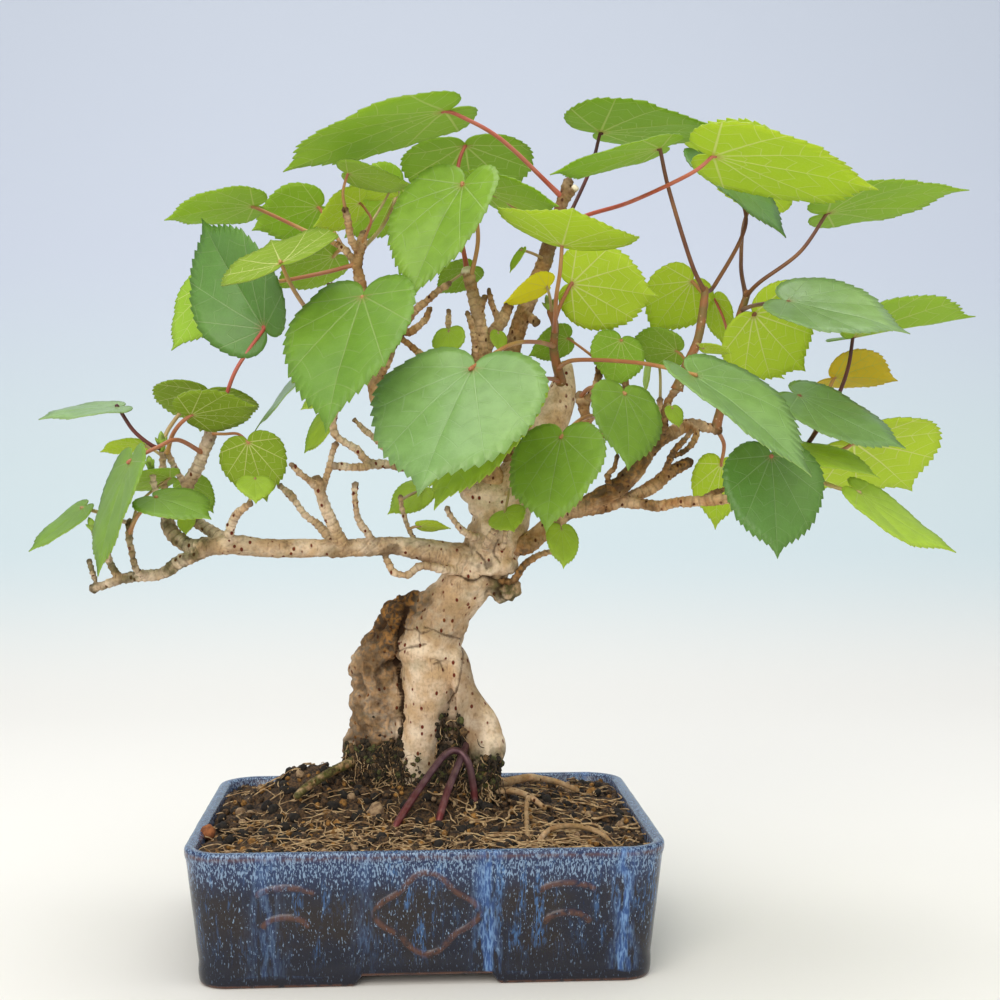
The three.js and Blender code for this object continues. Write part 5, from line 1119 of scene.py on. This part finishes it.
# %% Leaf material
def vein_pattern(plane, x, y, under):
    """Share of vein, and distance from the stalk: main veins by angle, side veins as stripes, a net."""
    r = maths("SQRT", x * x + y * y)
    angle = maths("ARCTAN2", y, x)
    nearest = None
    for vein_angle in VEIN_ANGLES:
        off = r * maths("ABSOLUTE", angle - vein_angle)
        nearest = off if nearest is None else maths("MINIMUM", nearest, off)
    width = (1.08 - r) * (0.0055 + under * 0.003)
    main = 1.0 - ramp(nearest / width, 0.5, 1.5)
    stripe = maths("FRACT", (r - nearest * (0.45 + nearest * 2.2)) / 0.125)
    side = 1.0 - ramp(maths("ABSOLUTE", stripe - 0.5), 0.012, 0.045)
    side = side * (1.0 - ramp(nearest, 0.1, 0.24))
    net = add_node("ShaderNodeTexVoronoi", {"Vector": plane, "Scale": 34.0}, "Distance", feature="DISTANCE_TO_EDGE")
    net = 1.0 - ramp(net, 0.02, 0.11)
    veins = maths("MAXIMUM", main, side * (0.5 + under * 0.2))
    return maths("MAXIMUM", veins, net * 0.1), r


def leaf_material(name, upper, lower, vein, under_vein, glow, roughness=0.46, glow_share=0.3):
    """Palmate veins over two greens, a pink flush at the stalk, a paler under face and light through it."""
    material, shader = new_material(name)
    plane = add_node("ShaderNodeUVMap", uv_map="leaf_plane")
    across = axis_of(plane, 0)
    under = maths("GREATER_THAN", across, 1.9)
    x = across - under * UNDER_SHIFT
    veins, r = vein_pattern(plane, x, maths("ABSOLUTE", axis_of(plane, 1)), under)
    place = object_place()
    shift = blotches(place, 55, 1, 0.35, 0.65)
    top = mixed(blotches(place, 6, 3, 0.3, 0.7) * 0.24, mixed(shift * 0.3, upper, lower), "#4c6a24")
    tone = mixed(under, top, mixed(shift * 0.25, lower, upper))
    blush = 1.0 - ramp(r, 0.01, 0.09)
    rib = mixed(blush * 0.7, mixed(under, vein, under_vein), "#b87048")
    fill(shader, {
        "Base Color": mixed(veins * (0.48 + under * 0.4), tone, rib),
        "Roughness": roughness + under * 0.2,
        "Specular IOR Level": 0.45 - under * 0.27,
        "Normal": bump(veins * (under * 2.0 - 1.0), 0.5, 0.0005),
    })
    through = mixed(veins * 0.5, glow, mixed(under, upper, under_vein))
    light = add_node("ShaderNodeBsdfTranslucent", {"Color": through})
    both = add_node("ShaderNodeMixShader", {0: glow_share, 1: Signal(shader.outputs[0]), 2: light})
    fill(material.node_tree.nodes["Material Output"], {"Surface": both})
    return material


LEAF_TONES = {
    # The bright finish is a young leaf's paler green; on the full-grown leaves given it, the lighter base is painted
    # light shining through from behind.
    "bright": leaf_material("bright_young_leaf_and_painted_backlight", "#aeca42", "#c6dc3c", "#d6e488", "#eef0a0", "#d8f034", 0.45, 0.34),
    "fresh": leaf_material("fresh_full_grown_leaf", "#84a63e", "#a6ca3c", "#b9cc86", "#d4e084", "#b4dc2c", 0.4, 0.28),
    "green": leaf_material("green_full_grown_leaf", "#749a36", "#98be3c", "#b2c47a", "#cfdc7e", "#a8d428", 0.43, 0.28),
    # The sheen finish has a low roughness for a real gloss, and a pale blue-green base that is painted reflection of
    # the light sky.
    "sheen": leaf_material("waxy_leaf_painted_blue_sheen", "#92b274", "#a8c86c", "#b2ca98", "#d4dc9c", "#a4cc54", 0.28, 0.2),
    "olive": leaf_material("olive_full_grown_leaf", "#74901e", "#8ca62c", "#b4c07a", "#d2d882", "#a4c81c", 0.5, 0.22),
    # The waxy finish likewise: real gloss from its low roughness, and a paler base that is painted sheen.
    "waxy": leaf_material("waxy_leaf_painted_pale_sheen", "#84a860", "#a4c866", "#aac68c", "#d4dc9c", "#a0cc50", 0.3, 0.2),
    # The dark finish is a darker green painted as shade on leaves that lie in shadow.
    "dark": leaf_material("dark_leaf_painted_shade", "#5e8a38", "#7c9c40", "#9ab474", "#b0ba74", "#7cac28", 0.35, 0.16),
    "yellow": leaf_material("yellow_ageing_leaf", "#f6ee34", "#f8f040", "#f0e670", "#ece468", "#fff830", 0.5, 0.5),
    "orange": leaf_material("orange_ageing_leaf", "#e2c236", "#e2cc40", "#b2c44c", "#c6cc60", "#f4d428"),
}
STALK_TONES = {
    "pink": ("#c4705c", "#b8533f"), "tan": ("#b98a52", "#ab6a46"), "brown": ("#8a5a36", "#6d3f2a"),
    "dark_red": ("#6a3026", "#4c2420"), "straw": ("#b5a068", "#a88a58"),
}
STALK_SKINS = {}
for name, (pale, blushed) in STALK_TONES.items():
    STALK_SKINS[name], shader = new_material(name + "_leaf_stalk_skin")
    fill(shader, {
        "Base Color": mixed(blotches(object_place(), 24, 2, 0.38, 0.6), pale, blushed), "Roughness": 0.45,
        "Subsurface Weight": 0.12, "Subsurface Radius": (0.0012, 0.0006, 0.0004),
    })
print("leaf finishes:", len(LEAF_TONES), "stalk finishes:", len(STALK_SKINS))

# %% Grow every leaf
# Leaves that aren't named here have a green blade or a tan stalk.
TONE_NUMBERS = {
    "bright": (6, 22, 32, 33, 38, 39, 44, 45, 46, 47, 49, 50, 52),
    "fresh": (1, 3, 7, 8, 14, 15, 16, 18, 19, 20, 21, 23, 26, 27, 29, 31, 35, 37),
    "sheen": (9, 10, 36), "waxy": (5, 41, 42), "dark": (25, 34, 43), "olive": (11, 12, 13, 24),
    "yellow": (51,), "orange": (40,),
}
STALK_NUMBERS = {
    "pink": (1, 2, 25, 32, 39), "brown": (31, 33, 34, 35, 36, 38, 42), "dark_red": (10, 30, 37, 44),
    "straw": (12, 15, 18, 23, 28, 46, 51),
}
tone_of, stalk_of = ({number: tone for tone, numbers in table.items() for number in numbers}
                     for table in (TONE_NUMBERS, STALK_NUMBERS))
for number, row in enumerate(LEAVES, 1):
    node = f"leaf_{number:02d}"
    mesh = make_mesh(node + "_leaf", [blade_parts(row, number - 1), stalk_parts(row, 1)])
    finishes = [LEAF_TONES[tone_of.get(number, "green")], STALK_SKINS[stalk_of.get(number, "tan")]]
    add_piece(node + "_leaf", mesh, finishes, [node])
young_parts = []
for number, row in enumerate(YOUNG_LEAVES, 80):
    young_parts += [blade_parts(row, number), stalk_parts(row, 1)]
young_finishes = [LEAF_TONES["bright"], STALK_SKINS["straw"]]
add_piece("young_leaves", make_mesh("young_leaves", young_parts), young_finishes, ["tree"])

# %% [markdown]
# ## Pot
# Stoneware, pressed in a mould with feet, rim and low relief, then glazed and fired. The glaze ran down
# while it was molten: it is thin and brown on every edge, and pale blue crystals streak its navy pool.

# %% Pot walls
HALF_POT = np.array([POT_WIDTH / 2, POT_DEPTH / 2])
CORNER_CENTRE = HALF_POT - POT_CORNER
UNGLAZED_MARGIN = 13  # The underside is bare clay from this far inside the rim.


def wall_inset(z):
    """How far the outer wall stands in from the rim at a height: a straight taper."""
    return POT_TAPER * (1 - z / POT_HEIGHT)


def rounded_outline(step=0.9):
    """Points round the rim: four quarter circles, each with the straight side that follows it."""
    quarter = np.linspace(0, np.pi / 2, 33)
    centres = CORNER_CENTRE * np.array([(1, 1), (-1, 1), (-1, -1), (1, -1)])
    rows = []
    for k, centre in enumerate(centres):
        angle = quarter + k * np.pi / 2
        rows.append(centre + POT_CORNER * np.stack([np.cos(angle), np.sin(angle)], 1))
        start = rows[-1][-1]
        finish = centres[(k + 1) % 4] + start - centre
        count = int(np.linalg.norm(finish - start) / step)
        rows.append(start + (finish - start) * np.arange(1, count)[:, None] / count)
    return np.vstack(rows)


def at_level(outline, back):
    """The outline drawn in: straight walls move in by the distance, corners keep a softer radius."""
    keep = POT_CORNER - np.clip(back, -5, 12)
    centre = np.clip(outline, -CORNER_CENTRE, CORNER_CENTRE)
    return centre * (HALF_POT - back - keep) / CORNER_CENTRE + (outline - centre) / POT_CORNER * keep


def ring_at(back, height):
    """A ring of points round the pot at a distance in and a height."""
    return np.column_stack([at_level(outline, back), np.full(len(outline), height)])


# Tracks of the relief: centre across and up, radius, lobes, and start and end in half turns.
RELIEF_TRACKS = [(0, 33, 20, 4, 0, 2)]
for side in (-1, 1):
    RELIEF_TRACKS += [(side * 62, 36, 14, 2, 0.2, 0.8), (side * 62, 26, 9, 2, 0.1, 0.9)]


def relief_rise(x, z):
    """Height of the low relief at points of the wall: a round cord along each ornament track."""
    rise = np.zeros(len(x))
    for cx, cz, radius, lobes, start, finish in RELIEF_TRACKS:
        angle = np.linspace(start * np.pi, finish * np.pi, 220)
        r = radius * (1 + 0.14 * np.cos(lobes * angle))
        track = np.stack([cx + r * np.cos(angle), cz + 0.82 * r * np.sin(angle)], 1)
        near = np.abs(x - cx) < 1.3 * radius
        away = np.full(len(x), 99.0)
        away[near] = np.sqrt(((np.stack([x, z], 1)[near][:, None] - track[None]) ** 2).sum(-1).min(1))
        rise = np.maximum(rise, np.sqrt(np.clip(1 - (away / (0.62 * RELIEF_STROKE)) ** 2, 0, 1)))
    return RELIEF_HEIGHT * rise


outline = rounded_outline()
# Each level is a height and how far the skin stands in from the plain taper there.
LEVELS = [(0, 0.9), (0.3, 0.35), (0.9, -0.05), (1.8, -0.25), (4, -0.3), (6, -0.15), (8, 0.15), (9.5, 0.4)]
LEVELS += [(z, 0.5 - 0.3 * (z - 10) / (POT_HEIGHT - 18)) for z in np.arange(10.5, POT_HEIGHT - 8, 0.85)]
LEVELS += [(POT_HEIGHT - below, inset) for below, inset in [
    (8, 0.2), (6.2, 0.15), (5.2, -0.1), (4, -0.3), (2.4, -0.25), (1.4, -0.1), (0.7, 0.25), (0.2, 0.8),
    (0, 1.6), (0.05, 3.4), (0.5, 4.7), (1.6, 5.45)]]
x, y = np.abs(outline).T
lift_front = smooth((FOOT_GAP_FRONT / 2 + FOOT_SLANT - x) / FOOT_SLANT) * (y > (POT_DEPTH - POT_CORNER) / 2)
lift_side = smooth((FOOT_GAP_SIDE / 2 + FOOT_SLANT - y) / FOOT_SLANT) * (x > (POT_WIDTH - POT_CORNER) / 2)
foot_lift = FOOT_HEIGHT * np.maximum(lift_front, lift_side)
foot_inset = wall_inset(0) + FOOT_LEG
rings = [ring_at(foot_inset, FOOT_HEIGHT), ring_at(foot_inset, foot_lift)]
for z, inset in LEVELS:
    ring = ring_at(wall_inset(z) + inset, foot_lift + (POT_HEIGHT - foot_lift) * z / POT_HEIGHT)
    if 9 < z < POT_HEIGHT - 5:
        on_face = np.abs(ring[:, 0]) < CORNER_CENTRE[0]
        ring[:, 1] += np.sign(ring[:, 1]) * relief_rise(ring[:, 0], ring[:, 2]) * on_face
    rings.append(ring)
rings += [ring_at(wall_inset(z) + POT_WALL, z) for z in (50, 35, 20, FLOOR_TOP)]
count, wall = len(outline), np.vstack(rings)
glaze_wave = 0.10 * noise(wall, 6, 90, 2) * (wall[:, 2] > 6)
wall = wall + glaze_wave[:, None] * unit(wall * [1 / POT_WIDTH, 1 / POT_DEPTH, 0])
hubs = [fan(0, count, len(wall), False), fan(len(wall) - count, count, len(wall) + 1)]
pot_points = np.vstack([wall, [[0, 0, FOOT_HEIGHT], [0, 0, FLOOR_TOP]]])
blank = make_mesh("pot_blank", [(pot_points, [grid_faces(len(rings), count), *hubs], 0, None)])
cutters = []
for side in (-1, 1):
    bpy.ops.mesh.primitive_cylinder_add(vertices=48, radius=DRAIN_HOLE / 2000, depth=0.03,
                                        location=POT_MIDDLE + np.array([side * DRAIN_SPACING / 2000, 0, 0.008]))
    cutters.append(bpy.context.object)
cuts = [("BOOLEAN", {"operation": "DIFFERENCE", "object": cutter, "solver": "EXACT"}) for cutter in cutters]
pot_mesh = modified(blank, *cuts)
for cutter in cutters:
    bpy.data.objects.remove(cutter)
pot_mesh.polygons.foreach_set("use_smooth", np.ones(len(pot_mesh.polygons), bool))

# %% [markdown]
# ### Glaze
# The glaze's tint follows its run: streaks are noise stretched down the wall, paler near the rim where
# crystals grew, and the clay's iron shows brown where a rim, a foot or the relief left the glaze thin.

# %% Glaze finish and the finished pot
glaze, shader = new_material("running_blue_stoneware_glaze")
place = object_place()
height = axis_of(place, 2) * 1000.0
run = stretched(place, 0.16)
hair = blotches(run, 0.8, 2, 0.42, 0.62)
streak = blotches(run, 4.5, 4, 0.48, 0.64) * hair
broad = blotches(run, 18, 3, 0.42, 0.62)
rim_share = ramp(height, POT_HEIGHT - 22, POT_HEIGHT - 5)
foot_share = 1.0 - ramp(height, 6.0, 24.0)
fleck = grain(stretched(place, 0.3), 0.62, 3) - (0.62 - rim_share * 0.13)
fleck = ramp(fleck, 0.0, 0.07) * (1.0 - foot_share * 0.7)
pool = mixed(blotches(place, 20, 3, 0.38, 0.62), "#0f1326", "#1f1718")
pool = mixed(foot_share * 0.8, pool, "#0d1020")
colour = mixed(rim_share * 0.62, pool, "#1c3460")
colour = mixed(streak * ((0.25 + broad * 0.7) * (1.0 - foot_share)), colour, "#3a5f8c")
colour = mixed(fleck * 0.7, colour, "#8fa9c4")
colour = mixed(share_of("thin") * blotches(place, 4, 4, 0.3, 0.55), colour, "#5d3a2a")
drip = mixed(hair, "#2c4f86", "#7094c0")
colour = mixed(share_of("run") * blotches(run, 3, 4, 0.38, 0.56), colour, drip)
fill(shader, {
    "Base Color": colour, "Roughness": 0.24, "Specular IOR Level": 0.4,
    "Coat Weight": 0.12, "Coat Roughness": 0.06, "Normal": bump(grain(place, 1.6, 2), 0.12, 0.0004),
})

clay, shader = new_material("unglazed_red_brown_stoneware")
fill(shader, {"Base Color": mixed(blotches(object_place(), 3, 4, 0.3, 0.7), "#6d4333", "#4d2e25"), "Roughness": 0.8})

skin = points_of(pot_mesh)
across, deep, height = np.abs(skin[:, 0]), np.abs(skin[:, 1]), skin[:, 2]
rim_line = bell(height - (POT_HEIGHT - 2.6), 1.0)
foot_edge = height - FOOT_HEIGHT * (across < FOOT_GAP_FRONT / 2 + 1) * (deep > 60)
relief_line = relief_rise(skin[:, 0], height) / RELIEF_HEIGHT * (deep > POT_DEPTH / 2 - 9)
# Runs of glaze: place along the wall, half width and strength.
RUNS = [
    (from_photo(488, 880, -80)[0], 5, 0.9), (from_photo(625, 880, -80)[0], 4, 0.7), (-70, 6, 0.3),
    (-28, 4, 0.18), (88, 4, 0.2),
]
waver = 1.5 * noise(skin, 12, 95)
run_share = sum(share * bell(skin[:, 0] + waver - middle, width) for middle, width, share in RUNS)
set_shares(pot_mesh, thin=np.maximum.reduce([0.66 * rim_line, smooth(1.7 - foot_edge), 0.75 * relief_line]),
           run=run_share * (height > 6) * (deep > POT_DEPTH / 2 - 12))
centres = (read_rows(pot_mesh.polygons, "center") - POT_MIDDLE) * 1000
inside_feet = (np.abs(centres[:, :2]) < HALF_POT - UNGLAZED_MARGIN).all(1)
bare = (centres[:, 2] < 0.6) | ((centres[:, 2] < FOOT_HEIGHT + 0.3) & inside_feet)
pot_mesh.polygons.foreach_set("material_index", bare.astype(np.int32))
pot_mesh.materials.clear()
add_piece("glazed_pot", thinned(pot_mesh, FACES_KEPT), [glaze, clay], ["pot"])

# %% [markdown]
# ## Soil
# The surface is a low mound of loose granules with this tree's fine feeder roots running over it. The
# granules are one squashed twenty-sided shape, divided once where they are big, repeated with seeded
# sizes and turns.

# %% Soil surface, granules and feeder roots
random = np.random.default_rng(7)
GROUND_ROWS, GROUND_FOOT = 46, 40.0
FINE_ROOTS, COARSE_ROOTS, FRONT_STRIP = 560, 46, 42


def soil_height(x, y):
    """Height over the foot: a broad mound under the trunk and a shoulder under the corky root."""
    mound = SOIL_MOUND * np.exp(-(((x + 8) / 62) ** 2) - ((y - 8) / 46) ** 2)
    return SOIL_EDGE + mound + 14 * np.exp(-(((x + 58) / 24) ** 2) - ((y - 22) / 26) ** 2)


def ball_template(detail):
    """A ball of 12 points, or of 42 where the icosahedron's edges are halved and pushed out."""
    bpy.ops.mesh.primitive_ico_sphere_add(subdivisions=detail, radius=1.0)
    shape = bpy.context.object
    points = np.array([v.co for v in shape.data.vertices])
    faces = np.array([p.vertices[:] for p in shape.data.polygons])
    bpy.data.objects.remove(shape)
    return points, faces


def granules(places, sizes, detail=2):
    """Copies of the ball, each stretched along three random axes and roughened: points and faces."""
    points, faces = ball_template(detail)
    turn = random.normal(size=(len(places), 3, 3))
    turn, _ = np.linalg.qr(turn)
    stretch = random.uniform(0.6, 1.15, (len(places), 1, 3))
    rough = 1 + 0.28 * (random.random((len(places), len(points), 1)) - 0.5)
    shaped = np.einsum("nij,nkj->nki", turn, points[None] * stretch * rough) * sizes[:, None, None]
    all_faces = faces[None] + (np.arange(len(places)) * len(points))[:, None, None]
    mirrored = np.linalg.det(turn)[:, None, None] < 0
    all_faces = np.where(mirrored, all_faces[:, :, ::-1], all_faces)
    return (shaped + places[:, None]).reshape(-1, 3), [all_faces.reshape(-1, 3)]


inner = at_level(outline, wall_inset(POT_HEIGHT - 4) + POT_WALL + 0.35)[::3]
spread = np.linspace(1, 0.02, GROUND_ROWS)[:, None, None]
ground = (inner[None] * spread).reshape(-1, 2)
ground = np.column_stack([ground, soil_height(*ground.T) - 1.2])
ground[:, 2] += 1.5 * noise(ground, 3.0, 3, 3) + 1.1 * noise(ground, 8, 4)
ring_count = len(inner)
skirt = np.column_stack([inner, np.full(ring_count, GROUND_FOOT)])
ground = np.vstack([skirt, ground, [[0, 0, soil_height(0, 0) - 1.2], [0, 0, GROUND_FOOT]]])
closing = fan(GROUND_ROWS * ring_count, ring_count, len(ground) - 2)
bottom = fan(0, ring_count, len(ground) - 1, False)
soil_parts = [(ground, [grid_faces(GROUND_ROWS + 1, ring_count), closing, bottom], 0, None)]

half = HALF_POT - POT_WALL - 4
# Kinds of granule: material number, count, least and greatest half size, and the ball's detail.
GRANULES = [(0, 420, 1.1, 3.2, 2), (1, 380, 0.8, 2.4, 1), (2, 380, 0.9, 3.0, 2), (3, 70, 1.0, 2.6, 2)]
for kind, count, low, high, detail in GRANULES:
    spots = random.uniform(-1, 1, (count, 2)) * half
    sizes = random.uniform(low, high, count)
    rise = soil_height(*spots.T) - 0.9 + 0.35 * sizes
    soil_parts.append((*granules(np.column_stack([spots, rise]), sizes, detail), kind, None))
for kind, size, stone in [(4, 4.2, from_photo(208, 828, -38)), (3, 5.1, from_photo(376, 812, -30))]:
    stone[2] = soil_height(*stone[:2]) + 2.0
    soil_parts.append((*granules(stone[None], np.array([size])), kind, None))


def feeder_root(start, heading, length, radius, steps=14):
    """A thin root that wanders over the ground: its heading drifts by a seeded amount at each step."""
    drift = heading + np.cumsum(random.normal(0, 0.34, steps))
    walk = np.cumsum(np.stack([np.cos(drift), np.sin(drift)], 1), axis=0) * length / steps
    spots = np.clip(start + walk, -half - 3, half + 3)
    hump = 1.6 * np.sin(np.linspace(0, np.pi, steps)) ** 2 * random.random()
    rise = soil_height(*spots.T) + 0.5 + hump + 0.5 * random.random()
    line = course(np.column_stack([spots, rise]), steps + 2)
    return *tube(line, radius * np.linspace(1, 0.6, len(line)), 4), 5, None


for number in range(FINE_ROOTS):
    start = random.uniform(-1, 1, 2) * half
    if number % 2:
        start[1] = -half[1] + FRONT_STRIP * random.random() ** 1.6
    heading, length = random.uniform(0, 6.28), random.uniform(7, 26)
    soil_parts.append(feeder_root(start, heading, length, random.uniform(0.16, 0.42)))
for number in range(COARSE_ROOTS):
    start = np.array([random.uniform(8, half[0] - 8), random.uniform(-half[1] + 6, 20)])
    heading, length = random.uniform(-1.6, 1.6), random.uniform(16, 38)
    soil_parts.append(feeder_root(start, heading, length, random.uniform(0.4, 0.85), 18))

# %% [markdown]
# ### Soil finish
# Fired-clay granules are matt and porous: brown, ochre and near black when wet, with a few pale ones.
# Feeder roots are pale straw.

# %% Soil materials and piece
def earth_material(name, pale, deep, size_mm):
    """Matt mineral: two tones mixed by fine noise, with a pitted surface."""
    material, shader = new_material(name)
    place = object_place()
    tone = blotches(place, size_mm, 4, 0.35, 0.65)
    fill(shader, {"Base Color": mixed(tone, pale, deep), "Roughness": 0.93,
                  "Normal": bump(grain(place, 0.5, 3), 0.5, 0.0004)})
    return material


SOIL_FINISHES = [earth_material(*row) for row in (
    ("damp_brown_clay_granules", "#5e4429", "#1e150d", 1.4),
    ("ochre_fired_clay_granules", "#a8783a", "#6a4820", 2.2),
    ("black_lava_granules", "#2c241c", "#15100c", 1.5),
    ("pale_tan_pumice_granules", "#a98b68", "#745a42", 2.0),
    ("orange_fired_clay_stone", "#a8663a", "#744326", 2.5),
    ("dry_straw_feeder_roots", "#cdad80", "#866440", 3.0),
)]
add_piece("granular_soil", make_mesh("granular_soil", soil_parts), SOIL_FINISHES, ["soil"])

# %% [markdown]
# ### Humus and rootlets at the foot of the trunk
# Dark humus, moss and hair-fine roots cling to the foot of the corky root and fill the gap between the
# trunk and the right leg; the dark crumbs in that gap are partly painted shade. Crumbs are set on seeded
# points of the bark there, and rootlets hang from them.

# %% Humus and rootlets
# Patches on the photograph: pixels across, pixels down and number of crumbs.
FOOT_PATCHES = [
    # The second patch, in the gap between the trunk and the right leg, is dark crumbs that are partly painted shade.
    ((346, 402), (716, 792), 900), ((436, 468), (700, 792), 420), ((384, 440), (752, 800), 260),
    ((462, 508), (740, 800), 330),
]
bark_points, bark_out = points_of(trunk_mesh), normals_of(trunk_mesh)
bark_front = (bark_out * (EYE - bark_points)).sum(1) > 0
across, down = to_photo(bark_points).T
crumb_spots = []
for (left, right), (top, bottom), count in FOOT_PATCHES:
    inside = bark_front & (across > left) & (across < right) & (down > top) & (down < bottom)
    ragged = down - top - 16 * (1 + noise(bark_points, 12, 70, 2))
    chance = np.where(inside, np.clip(ragged / 16, 0.012, 1), 0)
    crumb_spots.append(random.choice(len(bark_points), count, replace=False, p=chance / chance.sum()))
crumb_spots = np.concatenate(crumb_spots)
sizes = random.uniform(0.45, 1.1, len(crumb_spots)) ** 2 * 1.9
sat = bark_points[crumb_spots] + bark_out[crumb_spots] * (0.15 * sizes)[:, None]
humus_parts = []
for kind, chosen in enumerate(np.split(np.arange(len(sat)), [int(0.62 * len(sat)), int(0.85 * len(sat))])):
    chosen = random.permutation(len(sat))[:len(chosen)]
    humus_parts.append((*granules(sat[chosen], sizes[chosen], 1), kind, None))
for spot in crumb_spots[::4]:
    fall = np.array([0.35, 0.35, 0.5]) * random.normal(size=3) + [0, -0.25, -0.7]
    steps = np.cumsum(fall + 0.45 * random.normal(size=(7, 3)), axis=0) * random.uniform(0.8, 2.0)
    line = bark_points[spot] + bark_out[spot] * 0.8 + np.vstack([np.zeros(3), steps])
    line[:, 2] = np.maximum(line[:, 2], soil_height(line[:, 0], line[:, 1]) + 0.2)
    rootlet = tube(course(line, 12), random.uniform(0.18, 0.42) * np.linspace(1, 0.5, 12), 4)
    humus_parts.append((*rootlet, int(3 + (random.random() < 0.3)), None))
HUMUS_FINISHES = [earth_material(*row) for row in (
    ("black_damp_humus", "#3a2e1c", "#1b140c", 1.2),
    ("dark_olive_moss", "#55552a", "#2e2d15", 1.4),
    ("brown_humus_crumbs", "#7a5c36", "#4a3622", 1.6),
    ("dark_rootlets", "#4a3820", "#2a1f15", 2.5),
)]
humus_finishes = [*HUMUS_FINISHES, SOIL_FINISHES[-1]]
add_piece("foot_humus", make_mesh("foot_humus", humus_parts), humus_finishes, ["soil"])

# %% [markdown]
# ## Tie wire and drain meshes
# Soft aluminium wire, anodised brown, is drawn and bent by hand, so it keeps a round section and slow
# bends. It holds the roots in the pot. The drain meshes are moulded black plastic.

# %% Tie wire
wire_finish, shader = new_material("brown_anodised_aluminium_wire")
place = object_place()
tone = mixed(ramp(axis_of(place, 2) * 1000.0, 66.0, 84.0), "#6f2f2c", "#54363c")
scuff = blotches(place, 4, 3, 0.35, 0.7)
fill(shader, {"Base Color": mixed(scuff * 0.4, tone, "#8a6a68"), "Metallic": 0.55, "Roughness": 0.42})
wire_parts = []
for strand in WIRE_STRANDS:
    line = course([from_photo(*spot) for spot in strand], 90)
    wire_parts.append((*tube(line, WIRE_DIAMETER / 2 * (1 + 0.03 * noise(line, 5, 99)), 14), 0, None))
add_piece("tie_wire_strands", make_mesh("tie_wire_strands", wire_parts), [wire_finish], ["tie_wire"])

# %% Drain meshes keep their solids
plastic, shader = new_material("black_moulded_mesh_plastic")
fill(shader, {"Base Color": "#1b1b1b", "Roughness": 0.55})
for node in ("drain_mesh_left", "drain_mesh_right"):
    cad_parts[node].data.materials.clear()
    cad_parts[node].data.materials.append(plastic)
